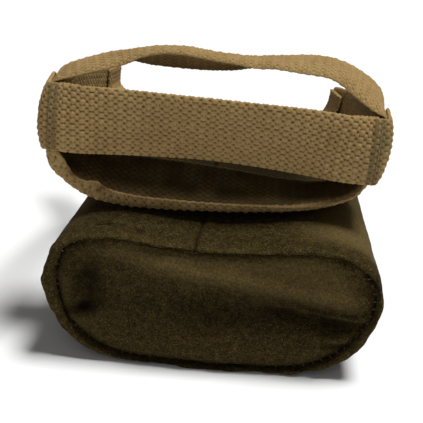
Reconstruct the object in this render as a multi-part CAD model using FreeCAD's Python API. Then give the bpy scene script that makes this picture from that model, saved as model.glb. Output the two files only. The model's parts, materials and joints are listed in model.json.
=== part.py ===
import FreeCAD, Part
import math
import os

from FreeCAD import Vector

# A felt-covered water bottle lying on its rounded side, with its webbing carrier laid on top of it.
# Millimetres. +Y runs from the bottle's base to its neck, +Z is up, and the floor is z = 0.
# The origin is under the middle of the bottle, on the narrow flat where the felt rests.

# Covered bottle
HALF_WIDTH = 88.0           # half the width of the covered bottle at its base
THICKNESS = 74.0            # from the floor to the upper face
BASE_Y = -80.0              # plane of the felt rim round the base
BODY_LENGTH = 140.0         # from the base rim to where the shoulders start
SHOULDER_LENGTH = 32.0      # from there to the end of the felt at the neck
SIDE_TAPER = 0.06           # loss of half width per unit of length
FELT = 4.0                  # felt thickness
PANEL_RECESS = 3.0          # the base panel lies this far inside the rim
STEEL = 1.0                 # wall of the steel bottle
LAYER_GAP = 0.2             # free space between layers that lie on each other
STEEL_INSET = FELT + LAYER_GAP
STEEL_START = 7.5           # from the rim to the edge of the steel body
BASE_DISH = 7.0             # depth of the dished steel base
REST_SINK = 0.9             # the section dips this far below the flat it rests on

# Neck and stopper
NECK_OUTER = 15.0
NECK_INNER = 13.6
NECK_START = 163.0          # lengths from here on are counted from the base rim
NECK_END = 189.0
LIP_RADIUS = 1.4
FELT_NECK_HOLE = 16.5
CORK_START = 171.0
CORK_END = 196.0
CORK_TIP_RADIUS = 12.4
CORK_RADIUS = 13.5
CAP_RADIUS = 15.2
CAP_THICKNESS = 1.0
CAP_SKIRT = 4.0
WASHER_RADIUS = 9.0
WIRE = 0.95                 # radius of the wire of the eye
EYE_RADIUS = 3.0
EYE_LIFT = 5.2              # the eye's centre stands this far above the cork
RING_RADIUS = 9.0
RING_WIRE = 1.0

# Webbing carrier, in its own frame: +X right, +Y away from its base strap, +Z up
TAPE = 2.4                  # webbing thickness
TAPE_WIDTH = 33.5           # width of the base strap and the side arms
NARROW_TAPE = 25.0          # width of the chapes and the retaining strap
CARRIER_ORIGIN = Vector(-5.0, -47.0, 119.1)
CARRIER_YAW = 2.8           # degrees that the carrier is turned on top of the bottle
CARRIER_ROLL = 3.7
CARRIER_PITCH = -6.0
BAND_LIP = 3.2              # near edge, curled zone, middle and far edge of the ring band along Y
BAND_CURL = 8.5
BAND_MIDDLE = 20.0
BAND_FAR = 37.0
STRAP_HALF = {"left": 87.4, "right": 90.0}  # from the carrier's middle to the base strap at each corner
LAYER = 2.7                 # from one layer of webbing to the next: base strap, ring band, side arm
ARM_SLACK = 0.8             # the side arms stand this much further in
ARM_BEND = {"left": 68.8, "right": 76.4}    # from the middle to each arm where its end bends outwards
ARM_BEND_Y = 146.0
ARM_SLOPE = 0.13            # the arms close in by this much for each unit of length before the bend
ARM_DROOP = 0.35            # the bent end sinks by this much for each unit of its length
SIDE_LEAN = {"left": 0.03, "right": 0.08}   # how far the sides lean to +X per unit of height
CORNER_CROWN = 2.5          # the webbing's edges fall back by this much round the corners
SIDE_SIGN = {"left": -1.0, "right": 1.0}

# Buckles
BAR = 1.5                   # radius of the bar that the chape goes round
BAR_OFFSET = 6.0            # from the arm's end to the bar
CHAPE_LEG = 15.0
CHAPE_GAP = 1.6             # half the space inside the chape
BUCKLE_LENGTH = 24.0
BUCKLE_HALF_WIDTH = 16.0
BUCKLE_FRAME = 3.0          # width of the buckle's bars
BUCKLE_THICKNESS = 2.6
MIDDLE_BAR = 11.0           # from the chape bar to the middle bar

# Press stud that closes the retaining strap
SNAP_X = 6.0
SNAP_Y = 131.5
STRAP_TOP_Z = -27.0         # middle of the upper strap at the stud
STRAP_DROP = 6.2            # the lower tab lies this far below it
SNAP_SHANK = 1.8
SNAP_HOLE = 2.0

# Sewing thread
THREAD = 0.5

# Half of the kidney section, from the underside round the right end to the upper face,
# as fractions of the half width and of the thickness.
HALF_SECTION = (
    (0.28, 0.0), (0.50, 0.01), (0.67, 0.06), (0.81, 0.15), (0.91, 0.28), (0.975, 0.44),
    (1.0, 0.60), (0.975, 0.76), (0.90, 0.90), (0.76, 0.98), (0.55, 1.0), (0.25, 0.96))
SECTION_TOP = 0.945

# The shoulders: length from the rim, share of the half width, share of the thickness.
SHOULDERS = ((BODY_LENGTH, 1 - SIDE_TAPER * BODY_LENGTH / HALF_WIDTH, 1.0), (152.0, 0.85, 0.95),
             (162.0, 0.71, 0.84), (169.0, 0.51, 0.68), (172.0, 0.36, 0.52))

# The ring band's middle line at four places across its width, as seen along Y: from the left side
# over the top, down the right side and back along the bottom.
BAND_LIP_LINE = (
    (-84.35, 0), (-83.8, 6), (-82.45, 12.5), (-81.05, 17.2), (-76.8, 19.4), (-64.3, 23.6),
    (-47.8, 29.4), (-38.2, 34.7), (-28.4, 37.7), (-18, 38.2), (-4.5, 36.8), (8, 36.2), (18, 35.2),
    (28, 36), (41, 35.2), (57, 33.8), (69.5, 26.8), (79.2, 20.8), (85.1, 17.9), (86, 14.5),
    (87.05, 6), (86.6, -3), (84.5, -12), (82.3, -17.4), (76.9, -25.4), (66, -30.4), (48, -34.4),
    (25, -36.6), (-1.7, -38.1), (-29.4, -38.6), (-42, -37.8), (-51, -36.1), (-57, -33),
    (-63.8, -33.2), (-69.8, -30.3), (-73.6, -25), (-77.2, -20.2), (-81.3, -17.6), (-83.2, -12.5),
    (-84.25, -6))
BAND_CURL_LINE = (
    (-84.8, 0), (-84.25, 6), (-82.9, 12.5), (-81.45, 17.3), (-77.8, 20.4), (-65.2, 25.2),
    (-48.8, 31.2), (-38.8, 35.6), (-28.8, 38.3), (-18, 38.9), (-4.5, 37.9), (8, 37.4), (18, 37),
    (28.2, 37.8), (41.4, 37.4), (57.8, 36), (70.8, 29.8), (81, 22.8), (85.6, 18.2), (86.4, 14.5),
    (87.45, 6), (87.05, -3), (84.95, -12), (82.8, -17.4), (77.6, -24.9), (66.8, -31), (48.8, -36.2),
    (24.8, -39.9), (-1.7, -42.4), (-29.3, -44.1), (-42, -44), (-54, -42.7), (-61.8, -40.9),
    (-69, -37.6), (-75.2, -33.4), (-80.8, -28.8), (-83.4, -22.4), (-81.9, -17.4), (-83.6, -12.5),
    (-84.65, -6))
BAND_MIDDLE_LINE = (
    (-85.6, 0), (-85.05, 6), (-83.7, 12.5), (-82.25, 17.4), (-78.5, 21.5), (-68, 26.6),
    (-52.5, 32), (-40, 34.9), (-29.5, 36.8), (-18, 37.5), (-4.5, 36.8), (8, 36.6), (18.3, 37.1),
    (28.6, 38.5), (42, 39.2), (59, 38.6), (72.8, 32.8), (83.6, 24.4), (86.5, 18.4), (87.3, 14.5),
    (88.25, 6), (87.85, -3), (85.75, -12), (83.6, -17.4), (78.3, -25.4), (67.2, -30.9), (49, -34.9),
    (24.7, -36.6), (-1.7, -37.4), (-29.3, -37.6), (-42, -37.4), (-54, -36), (-61.8, -34),
    (-69.2, -31.4), (-75.6, -28.7), (-80.6, -25.6), (-83.7, -21.7), (-82.7, -17.4), (-84.4, -12.5),
    (-85.45, -6))
BAND_FAR_LINE = (
    (-86.7, 0), (-86.15, 6), (-84.8, 12.5), (-83.3, 17.6), (-79.5, 20.6), (-71, 24), (-55.5, 28.3),
    (-41.5, 26.6), (-30.5, 25.9), (-18.5, 26), (-5, 26.7), (8, 28.2), (18.5, 30.8), (29, 34.6),
    (44, 38.2), (60, 38.4), (75.5, 33.6), (86, 26), (88.6, 19), (88.5, 14.5), (89.4, 6),
    (88.95, -3), (86.85, -12), (84.7, -17.6), (79.2, -25.2), (67.5, -29.6), (49, -31.5),
    (24.6, -30.7), (-1.7, -29.3), (-29.3, -28.2), (-42, -27.8), (-54, -27.1), (-62, -26.4),
    (-69.4, -25.4), (-75.4, -24.1), (-80, -22.6), (-83, -20.6), (-83.9, -17.6), (-85.5, -12.5), (-86.5, -6))

UP = Vector(0, 0, 1)
AWAY = Vector(0, 1, 0)

CARRIER_TURN = (FreeCAD.Rotation(UP, CARRIER_YAW)
                * FreeCAD.Rotation(AWAY, CARRIER_ROLL)
                * FreeCAD.Rotation(Vector(1, 0, 0), CARRIER_PITCH))
CARRIER_PLACE = FreeCAD.Placement(CARRIER_ORIGIN, CARRIER_TURN)

parts = {}


# ---------------------------------------------------------------- shared helpers

def ring_wire(points):
    """Closed smooth wire through the points."""
    curve = Part.BSplineCurve()
    curve.interpolate(points, PeriodicFlag=True)
    return Part.Wire([curve.toShape()])


def cylinder(radius, start, end):
    """Cylinder between two points."""
    axis = end - start
    return Part.makeCylinder(radius, axis.Length, start, axis)


def placed(shape, place):
    """Copy of a shape moved into another frame."""
    result = shape.copy()
    result.Placement = place.multiply(result.Placement)
    return result


def carrier_part(name, shape):
    """Stores a shape that was drawn in the carrier's frame."""
    parts[name] = placed(shape, CARRIER_PLACE)


# ---------------------------------------------------------------- the covered bottle

def kidney_points(length, width_share, thickness_share, inset):
    """Points of the kidney section at a length from the rim, inset from the felt's outer face."""
    half = HALF_WIDTH * width_share - inset
    middle = THICKNESS / 2
    tall = THICKNESS * thickness_share * (1 - 2 * inset / THICKNESS)
    right = [(x * half, (z - 0.5) * tall + middle) for x, z in HALF_SECTION]
    left = [(-x, z) for x, z in reversed(right)]
    bottom = (0.0, -tall / 2 + middle - REST_SINK)
    top = (0.0, (SECTION_TOP - 0.5) * tall + middle)
    outline = [bottom] + right + [top] + left
    return [Vector(x, BASE_Y + length, z) for x, z in outline]


def kidney_wire(length, width_share=None, thickness_share=1.0, inset=0.0):
    if width_share is None:
        width_share = 1 - SIDE_TAPER * length / HALF_WIDTH
    return ring_wire(kidney_points(length, width_share, thickness_share, inset))


def body_block(start, end, inset):
    """Solid stretch of the tapering body."""
    return Part.makeLoft([kidney_wire(start, inset=inset), kidney_wire(end, inset=inset)], True)


def shoulder_block(inset):
    """Solid shoulders, shortened at the neck by the inset."""
    wires = []
    first = SHOULDERS[0][0]
    for length, width_share, thickness_share in SHOULDERS:
        shorter = first + (length - first) * (1 - inset / SHOULDER_LENGTH)
        wires.append(kidney_wire(shorter, width_share, thickness_share, inset))
    return Part.makeLoft(wires, True)


def along_neck(length):
    """Point on the neck's axis at a length from the rim."""
    return Vector(0, BASE_Y + length, THICKNESS / 2)


def neck_cylinder(radius, start, end):
    return cylinder(radius, along_neck(start), along_neck(end))


def above_floor(shape):
    """The felt is pressed flat where it rests, so nothing reaches below the floor."""
    room = Part.makeBox(400, 400, 300, Vector(-200, -200, 0))
    return shape.common(room)


def build_bottle():
    wrap = body_block(0, BODY_LENGTH, 0).cut(body_block(-1, BODY_LENGTH + 1, FELT))
    parts["felt_side_wrap"] = above_floor(wrap)

    panel_end = PANEL_RECESS + FELT
    parts["felt_base_panel"] = above_floor(body_block(PANEL_RECESS, panel_end, STEEL_INSET))

    shoulder = shoulder_block(0).cut(shoulder_block(FELT))
    shoulder = shoulder.cut(neck_cylinder(FELT_NECK_HOLE, BODY_LENGTH, BODY_LENGTH + 2 * SHOULDER_LENGTH))
    parts["felt_shoulder_panel"] = above_floor(shoulder)

    thin = STEEL_INSET + STEEL
    hollow = body_block(STEEL_START - 1, BODY_LENGTH + 1, thin)
    parts["bottle_body"] = body_block(STEEL_START, BODY_LENGTH, STEEL_INSET).cut(hollow)

    steel = shoulder_block(STEEL_INSET).cut(shoulder_block(thin))
    neck_way = neck_cylinder(NECK_OUTER, BODY_LENGTH, BODY_LENGTH + SHOULDER_LENGTH)
    parts["bottle_shoulder"] = steel.cut(neck_way)

    dish_inset = thin + LAYER_GAP / 2
    dish_end = STEEL_START + BASE_DISH
    dish = body_block(STEEL_START, dish_end, dish_inset)
    hollow = body_block(STEEL_START - 1, dish_end - STEEL, dish_inset + STEEL)
    parts["bottle_base_plate"] = dish.cut(hollow)

    lip = Part.makeTorus(NECK_OUTER, LIP_RADIUS, along_neck(NECK_END), AWAY)
    tube = neck_cylinder(NECK_OUTER, NECK_START, NECK_END).fuse(lip)
    parts["bottle_neck"] = tube.cut(neck_cylinder(NECK_INNER, NECK_START - 1, NECK_END + 5))


def build_stopper():
    bore = neck_cylinder(WIRE + 0.05, CORK_START - 10, CORK_END + 10)
    neck_top = NECK_END + LIP_RADIUS
    tip = Part.makeCone(CORK_TIP_RADIUS, CORK_RADIUS, neck_top - CORK_START, along_neck(CORK_START), AWAY)
    cork = tip.fuse(neck_cylinder(CORK_RADIUS, neck_top, CORK_END))
    parts["stopper_cork"] = cork.cut(bore)

    cap = neck_cylinder(CAP_RADIUS, CORK_END - CAP_SKIRT, CORK_END + CAP_THICKNESS)
    cap = cap.makeFillet(0.8, [edge for edge in cap.Edges if edge.BoundBox.YMin > BASE_Y + CORK_END])
    inside = neck_cylinder(CORK_RADIUS + LAYER_GAP / 2, CORK_END - CAP_SKIRT - 1, CORK_END + LAYER_GAP / 2)
    parts["stopper_cap"] = cap.cut(inside).cut(bore)

    washer = neck_cylinder(WASHER_RADIUS, CORK_START - 1.1, CORK_START - 0.1)
    parts["stopper_washer"] = washer.cut(bore)

    eye_centre = CORK_END + EYE_LIFT
    shank = neck_cylinder(WIRE, CORK_START - 2.5, eye_centre - EYE_RADIUS)
    clench = neck_cylinder(2 * WIRE, CORK_START - 2.5, CORK_START - 1.2)
    loop = Part.makeTorus(EYE_RADIUS, WIRE, along_neck(eye_centre), Vector(1, 0, 0))
    parts["stopper_eye"] = shank.fuse([clench, loop])

    hang = along_neck(eye_centre) - UP * RING_RADIUS
    parts["stopper_ring"] = Part.makeTorus(RING_RADIUS, RING_WIRE, hang, AWAY)
    print("stopper_ring hinge", along_neck(eye_centre))


# ---------------------------------------------------------------- sewing on the felt

def build_felt_stitches():
    seam_y = PANEL_RECESS - 0.2
    outer = kidney_wire(seam_y, inset=FELT - 0.6).discretize(Number=73)
    inner = kidney_wire(seam_y, inset=FELT + 2.4).discretize(Number=73)
    stitches = [cylinder(THREAD, a, b) for a, b in zip(outer[:-1], inner[:-1])]
    parts["base_seam_stitches"] = Part.makeCompound(stitches)

    wrap = parts["felt_side_wrap"]
    seam_x = -8.0
    stitches = []
    for step in range(26):
        start = Vector(seam_x, BASE_Y + 5 + 5.2 * step, THICKNESS)
        foot = Part.Vertex(start).distToShape(wrap)[1][0][1]
        stitches.append(cylinder(THREAD, foot, foot + AWAY * 3.4))
    parts["back_seam_stitches"] = Part.makeCompound(stitches)

    share = SHOULDERS[0][1]
    line = kidney_wire(BODY_LENGTH - 2, share, inset=0.1).discretize(Number=79)
    stitches = [cylinder(THREAD, a, a + AWAY * 4) for a in line[:-1] if a.z > 3]
    parts["shoulder_seam_stitches"] = Part.makeCompound(stitches)


# ---------------------------------------------------------------- the webbing carrier

def straight_up(share, centre):
    return UP


def turning(start_lean, end_lean):
    """Lean of a tape's width that turns evenly from one end to the other."""
    return lambda share, centre: start_lean * (1 - share) + end_lean * share


def ramp(value, low, high):
    share = min(max((value - low) / (high - low), 0.0), 1.0)
    return share * share * (3 - 2 * share)


def corner_crown(centre):
    """How far the webbing's edges fall back: most at the carrier's corners, nothing along its front."""
    return CORNER_CROWN * ramp(abs(centre.x), 66, 80) * (1 - ramp(centre.y, 45, 95))


def side_lean(side):
    return Vector(SIDE_LEAN[side], 0, 1)


def webbing(route, width, lean_at=straight_up, samples=40, crown_sense=0):
    """Webbing along a smooth route, its width on a lean and its edges falling back at the corners."""
    curve = Part.BSplineCurve()
    curve.interpolate(route)
    sections = []
    for step in range(samples + 1):
        share = step / samples
        where = curve.FirstParameter + (curve.LastParameter - curve.FirstParameter) * share
        centre = curve.value(where)
        tangent = curve.tangent(where)[0]
        face = tangent.cross(lean_at(share, centre))
        face.normalize()
        across = face.cross(tangent)
        across.normalize()
        fall = crown_sense * corner_crown(centre)
        sides = (1, 0.5, 0, -0.5, -1) if crown_sense else (1, -1)
        corners = []
        for out, order in ((1, sides), (-1, tuple(reversed(sides)))):
            for side in order:
                rise = out * TAPE / 2 - fall * side * side
                corners.append(centre + face * rise + across * (side * width / 2))
        sections.append(Part.makePolygon(corners + corners[:1]))
    return Part.makeLoft(sections, True, True)


def band_wire(line, y, offset):
    """Closed line of the ring band, moved outwards by the offset."""
    count = len(line)
    points = []
    for index, (x, z) in enumerate(line):
        before = line[index - 1]
        after = line[(index + 1) % count]
        along_x = after[0] - before[0]
        along_z = after[1] - before[1]
        size = math.hypot(along_x, along_z)
        points.append(Vector(x - along_z / size * offset, y, z + along_x / size * offset))
    return ring_wire(points)


def band_block(offset, extra):
    wires = [band_wire(BAND_LIP_LINE, BAND_LIP - extra, offset),
             band_wire(BAND_CURL_LINE, BAND_CURL, offset),
             band_wire(BAND_MIDDLE_LINE, BAND_MIDDLE, offset),
             band_wire(BAND_FAR_LINE, BAND_FAR + extra, offset)]
    return Part.makeLoft(wires, True)


def strap_route():
    """Middle line of the base strap, from its end behind the left corner to its end behind the right one."""
    corner = [(-16, -3.0), (-7, -2.9), (-1.4, -0.9), (0, 6), (0.9, 16), (2.2, 30)]
    left = [Vector(-(STRAP_HALF["left"] + x), y, 0) for x, y in reversed(corner)]
    front = [Vector(-45, -2.0, 1.2), Vector(0, 0.6, 1.8), Vector(45, -1.8, 1.6)]
    right = [Vector(STRAP_HALF["right"] + x, y, 0) for x, y in corner]
    return left + front + right


def strap_lean(share, centre):
    """The base strap leans back at its lower edge, most in the middle of the front."""
    middle = 1 - ramp(abs(centre.x), 5, 80)
    return side_lean("left") * (1 - share) + side_lean("right") * share - AWAY * (0.25 * middle)


def arm_route(side):
    """Middle line of a side arm, from its end behind the base strap to its far end bent outwards."""
    half = STRAP_HALF[side] - 2 * LAYER - ARM_SLACK
    bend = ARM_BEND[side]
    outline = [(half - 14, 0.3, 0), (half - 6, 0.0, 0), (half - 1.2, 1.4, 0), (half, 6, 0),
               (half + 0.8, 22, 0), (half + 1.6, 40, 0), (half + 0.2, 72, -1.5),
               (bend + 5.3 + 0.08 * (half - bend), 105, -5.4)]
    for y, z in ((118, -7.4), (132, -9.3), (144, -10.8)):
        outline.append((bend + ARM_SLOPE * (ARM_BEND_Y - y), y, z))
    outline.append((bend + 1.2, ARM_BEND_Y + 2, -11.4))
    for along in (0, 8.5, 17):
        outline.append((bend + 3 + 0.5 * along, ARM_BEND_Y + 5 + 0.866 * along, -12 - ARM_DROOP * along))
    return [Vector(SIDE_SIGN[side] * x, y, z) for x, y, z in outline]


def build_webbing():
    band = band_block(TAPE / 2, 0).cut(band_block(-TAPE / 2, 0.01))
    carrier_part("ring_band", band)

    strap = webbing(strap_route(), TAPE_WIDTH, strap_lean, samples=90, crown_sense=1)
    carrier_part("base_strap", strap)

    for side in ("left", "right"):
        lean = turning(side_lean(side), UP)
        arm = webbing(arm_route(side), TAPE_WIDTH, lean, samples=80, crown_sense=SIDE_SIGN[side])
        carrier_part("side_arm_" + side, arm)


def arm_frame(side):
    """Frame at an arm's far end: X through its thickness, Y along it, Z across its width."""
    route = arm_route(side)
    along = route[-1] - route[-3]
    along.normalize()
    face = along.cross(UP)
    face.normalize()
    across = face.cross(along)
    matrix = FreeCAD.Matrix(face.x, along.x, across.x, route[-1].x,
                            face.y, along.y, across.y, route[-1].y,
                            face.z, along.z, across.z, route[-1].z,
                            0, 0, 0, 1)
    return FreeCAD.Placement(matrix)


def chape_solid():
    """Narrow webbing folded round the buckle's bar, with a leg on each face of the arm."""
    inner = CHAPE_GAP
    outer = CHAPE_GAP + TAPE
    corners = [Vector(-outer, -CHAPE_LEG, 0), Vector(-outer, BAR_OFFSET, 0), Vector(0, BAR_OFFSET + outer, 0),
               Vector(outer, BAR_OFFSET, 0), Vector(outer, -CHAPE_LEG, 0), Vector(inner, -CHAPE_LEG, 0),
               Vector(inner, BAR_OFFSET, 0), Vector(0, BAR_OFFSET + inner, 0), Vector(-inner, BAR_OFFSET, 0),
               Vector(-inner, -CHAPE_LEG, 0)]
    edges = [Part.LineSegment(corners[0], corners[1]).toShape(),
             Part.Arc(corners[1], corners[2], corners[3]).toShape(),
             Part.LineSegment(corners[3], corners[4]).toShape(),
             Part.LineSegment(corners[4], corners[5]).toShape(),
             Part.LineSegment(corners[5], corners[6]).toShape(),
             Part.Arc(corners[6], corners[7], corners[8]).toShape(),
             Part.LineSegment(corners[8], corners[9]).toShape(),
             Part.LineSegment(corners[9], corners[0]).toShape()]
    face = Part.Face(Part.Wire(edges))
    face.translate(Vector(0, 0, -NARROW_TAPE / 2))
    return face.extrude(Vector(0, 0, NARROW_TAPE))


def buckle_solid():
    """Cast frame with a round chape bar, a middle bar and a far bar."""
    half = BUCKLE_HALF_WIDTH
    slot_half = half - BUCKLE_FRAME
    depth = BUCKLE_THICKNESS
    frame = Part.makeBox(depth, BUCKLE_LENGTH + BAR, 2 * half, Vector(-depth / 2, BAR_OFFSET - BAR, -half))
    corners = [edge for edge in frame.Edges if edge.BoundBox.XLength > depth / 2]
    frame = frame.makeFillet(2.5, corners)
    first_slot = MIDDLE_BAR - BUCKLE_FRAME / 2 + 2 * BAR
    frame = frame.cut(Part.makeBox(2 * depth, first_slot, 2 * slot_half,
                                   Vector(-depth, BAR_OFFSET - 2 * BAR, -slot_half)))
    far_start = MIDDLE_BAR + BUCKLE_FRAME / 2
    far_slot = BUCKLE_LENGTH - BUCKLE_FRAME - far_start
    frame = frame.cut(Part.makeBox(2 * depth, far_slot, 2 * slot_half,
                                   Vector(-depth, BAR_OFFSET + far_start, -slot_half)))
    bar = Part.makeCylinder(BAR, 2 * slot_half + 2, Vector(0, BAR_OFFSET, -slot_half - 1), UP)
    return frame.fuse(bar).removeSplitter()


def build_buckles():
    chape = chape_solid()
    buckle = buckle_solid()
    for side in ("left", "right"):
        frame = arm_frame(side)
        carrier_part("chape_" + side, placed(chape, frame))
        carrier_part("buckle_" + side, placed(buckle, frame))
        pivot = CARRIER_PLACE.multVec(frame.multVec(Vector(0, BAR_OFFSET, 0)))
        tip = CARRIER_PLACE.multVec(frame.multVec(Vector(0, BAR_OFFSET, 1)))
        slot_middle = BAR_OFFSET + (MIDDLE_BAR + BUCKLE_FRAME / 2 + BUCKLE_LENGTH - BUCKLE_FRAME) / 2
        slot = CARRIER_PLACE.multVec(frame.multVec(Vector(0, slot_middle, 0)))
        slot_out = CARRIER_PLACE.multVec(frame.multVec(Vector(1, slot_middle, 0)))
        print("buckle", side, "pivot", pivot, "axis", tip - pivot, "slot", slot, "slot axis", slot_out - slot)

        rows = []
        for along in (-4.0, -CHAPE_LEG + 2.5):
            for step in range(6):
                across = -NARROW_TAPE / 2 + 2.5 + 3.6 * step
                for face in (-1, 1):
                    out = face * (CHAPE_GAP + TAPE)
                    rows.append(cylinder(THREAD, Vector(out, along, across), Vector(out, along, across + 2.4)))
        carrier_part("chape_stitching_" + side, placed(Part.makeCompound(rows), frame))


def build_corner_stitching():
    for side in ("left", "right"):
        sign = SIDE_SIGN[side]
        half = STRAP_HALF[side]
        stitches = []
        for step in range(9):
            z = -TAPE_WIDTH / 2 + 2.6 + 3.4 * step
            middle = z + 1.15
            fall = 4 * CORNER_CROWN * (middle / TAPE_WIDTH) ** 2
            for inward in (5.5, 8.5):
                start = Vector(sign * (half - inward), -2.9 - TAPE / 2 + fall, z)
                stitches.append(cylinder(THREAD, start, start + UP * 2.3))
            for y in (12.0, 26.5):
                out = half + 0.072 * y - 0.1 + TAPE / 2 - fall
                start = Vector(sign * out + SIDE_LEAN[side] * middle, y, z)
                stitches.append(cylinder(THREAD, start, start + UP * 2.3))
        carrier_part("corner_stitching_" + side, Part.makeCompound(stitches))


# ---------------------------------------------------------------- the retaining strap

FLAP_HINGE = Vector(-66.6, SNAP_Y, -7.0)
HINGE_GAP = 3.4             # the root and the flap each end this far from the hinge
FLAP_LEAN = Vector(0.13, 1, 0)
TAB_LEAN = Vector(-0.13, 1, 0)
ROOT_TOP = Vector(-67.5, SNAP_Y, 6.0)
TAB_TOP = Vector(75.5, SNAP_Y, 5.0)


def build_retaining_strap():
    slope = Vector(-0.42, 0, 0.91)
    root_end = FLAP_HINGE + slope * HINGE_GAP
    root_route = [ROOT_TOP, Vector(-67.5, SNAP_Y, -0.5), root_end]
    root = webbing(root_route, NARROW_TAPE, turning(FLAP_LEAN, FLAP_LEAN), samples=10)
    carrier_part("retaining_strap_root", root)

    flap_start = FLAP_HINGE + Vector(0.74, 0, -0.67) * HINGE_GAP
    flap_route = [flap_start, Vector(-61.0, SNAP_Y, -12.0), Vector(-53.0, SNAP_Y, -17.5),
                  Vector(-42.0, SNAP_Y, -22.0), Vector(-24.0, SNAP_Y, -25.8),
                  Vector(SNAP_X - 8, SNAP_Y, STRAP_TOP_Z), Vector(SNAP_X + 6, SNAP_Y, STRAP_TOP_Z),
                  Vector(SNAP_X + 20, SNAP_Y, STRAP_TOP_Z + 1.0)]
    flap = webbing(flap_route, NARROW_TAPE, turning(FLAP_LEAN, AWAY))
    hole_top = Vector(SNAP_X, SNAP_Y, STRAP_TOP_Z + 5)
    flap = flap.cut(cylinder(SNAP_HOLE, hole_top, hole_top - UP * 8.5))
    carrier_part("retaining_strap_flap", flap)

    lower = STRAP_TOP_Z - STRAP_DROP
    tab_route = [TAB_TOP, Vector(75.3, SNAP_Y, 0.0), Vector(73.8, SNAP_Y, -6.0), Vector(69.5, SNAP_Y, -13.5),
                 Vector(60.5, SNAP_Y, -21.5), Vector(47.0, SNAP_Y, -27.5), Vector(32.0, SNAP_Y, -31.5),
                 Vector(SNAP_X + 8, SNAP_Y, lower), Vector(SNAP_X - 6, SNAP_Y, lower),
                 Vector(SNAP_X - 16, SNAP_Y, lower)]
    tab = webbing(tab_route, NARROW_TAPE, turning(TAB_LEAN, AWAY))
    hole_top = Vector(SNAP_X, SNAP_Y, lower + 3)
    tab = tab.cut(cylinder(SNAP_HOLE, hole_top, hole_top - UP * 6))
    carrier_part("retaining_strap_tab", tab)

    stitches = []
    for x, lean in ((ROOT_TOP.x + TAPE / 2, FLAP_LEAN), (TAB_TOP.x - TAPE / 2, TAB_LEAN)):
        for z in (4.0, 1.0):
            for step in range(6):
                shift = -NARROW_TAPE / 2 + 2.5 + 3.6 * step
                start = Vector(x, SNAP_Y, z) + lean * shift
                stitches.append(cylinder(THREAD, start, start + lean * 2.4))
    carrier_part("retaining_strap_stitching", Part.makeCompound(stitches))


def snap_disc(radius, low, high, ring_hole=0.0):
    """Disc of the press stud between two heights, with an optional hole."""
    disc = cylinder(radius, Vector(SNAP_X, SNAP_Y, low), Vector(SNAP_X, SNAP_Y, high))
    if ring_hole:
        start = Vector(SNAP_X, SNAP_Y, low - 1)
        disc = disc.cut(cylinder(ring_hole, start, start + UP * (high - low + 2)))
    return disc


def build_press_stud():
    strap_top = STRAP_TOP_Z + TAPE / 2
    strap_under = STRAP_TOP_Z - TAPE / 2
    tab_top = strap_under - STRAP_DROP + TAPE
    tab_under = tab_top - TAPE

    dome = Part.makeSphere(9.5, Vector(SNAP_X, SNAP_Y, strap_top + 2.2 - 9.5))
    dome = dome.common(snap_disc(6.2, strap_top + 0.1, strap_top + 4))
    shank = snap_disc(SNAP_SHANK, strap_under - 0.9, strap_top + 0.5)
    carrier_part("snap_cap", dome.fuse(shank))

    socket = snap_disc(6.0, strap_under - 2.5, strap_under - 0.1).cut(
        snap_disc(3.7, strap_under - 3, strap_under - 1.0))
    socket = socket.cut(snap_disc(SNAP_SHANK + 0.05, strap_under - 2, strap_under + 1))
    carrier_part("snap_socket", socket)

    flange = snap_disc(5.6, tab_top + 0.1, tab_top + 0.8, SNAP_SHANK + 0.05)
    knob = snap_disc(2.8, tab_top + 0.1, tab_top + 2.4, SNAP_SHANK + 0.05)
    carrier_part("snap_stud", flange.fuse(knob).removeSplitter())

    post = snap_disc(5.0, tab_under - 0.9, tab_under - 0.1).fuse(snap_disc(SNAP_SHANK, tab_under - 0.5, tab_top + 2.2))
    carrier_part("snap_post", post)

    hinge = CARRIER_PLACE.multVec(FLAP_HINGE)
    axis = CARRIER_PLACE.multVec(FLAP_HINGE - AWAY) - hinge
    print("flap hinge", hinge, "axis", axis)


build_bottle()
build_stopper()
build_felt_stitches()
build_webbing()
build_buckles()
build_corner_stitching()
build_retaining_strap()
build_press_stud()

os.makedirs("parts", exist_ok=True)
for name, shape in parts.items():
    solids = shape.Solids
    box = shape.BoundBox
    print(name, "solids", len(solids), "valid", shape.isValid(), "volume", round(shape.Volume),
          "box", [round(v, 1) for v in (box.XMin, box.YMin, box.ZMin, box.XMax, box.YMax, box.ZMax)])
    if len(solids) == 1:
        shape = solids[0]
    shape.exportStep("parts/" + name + ".step")
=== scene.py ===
import json
import math

import bpy
import numpy as np
from mathutils import Matrix, Vector

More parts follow.
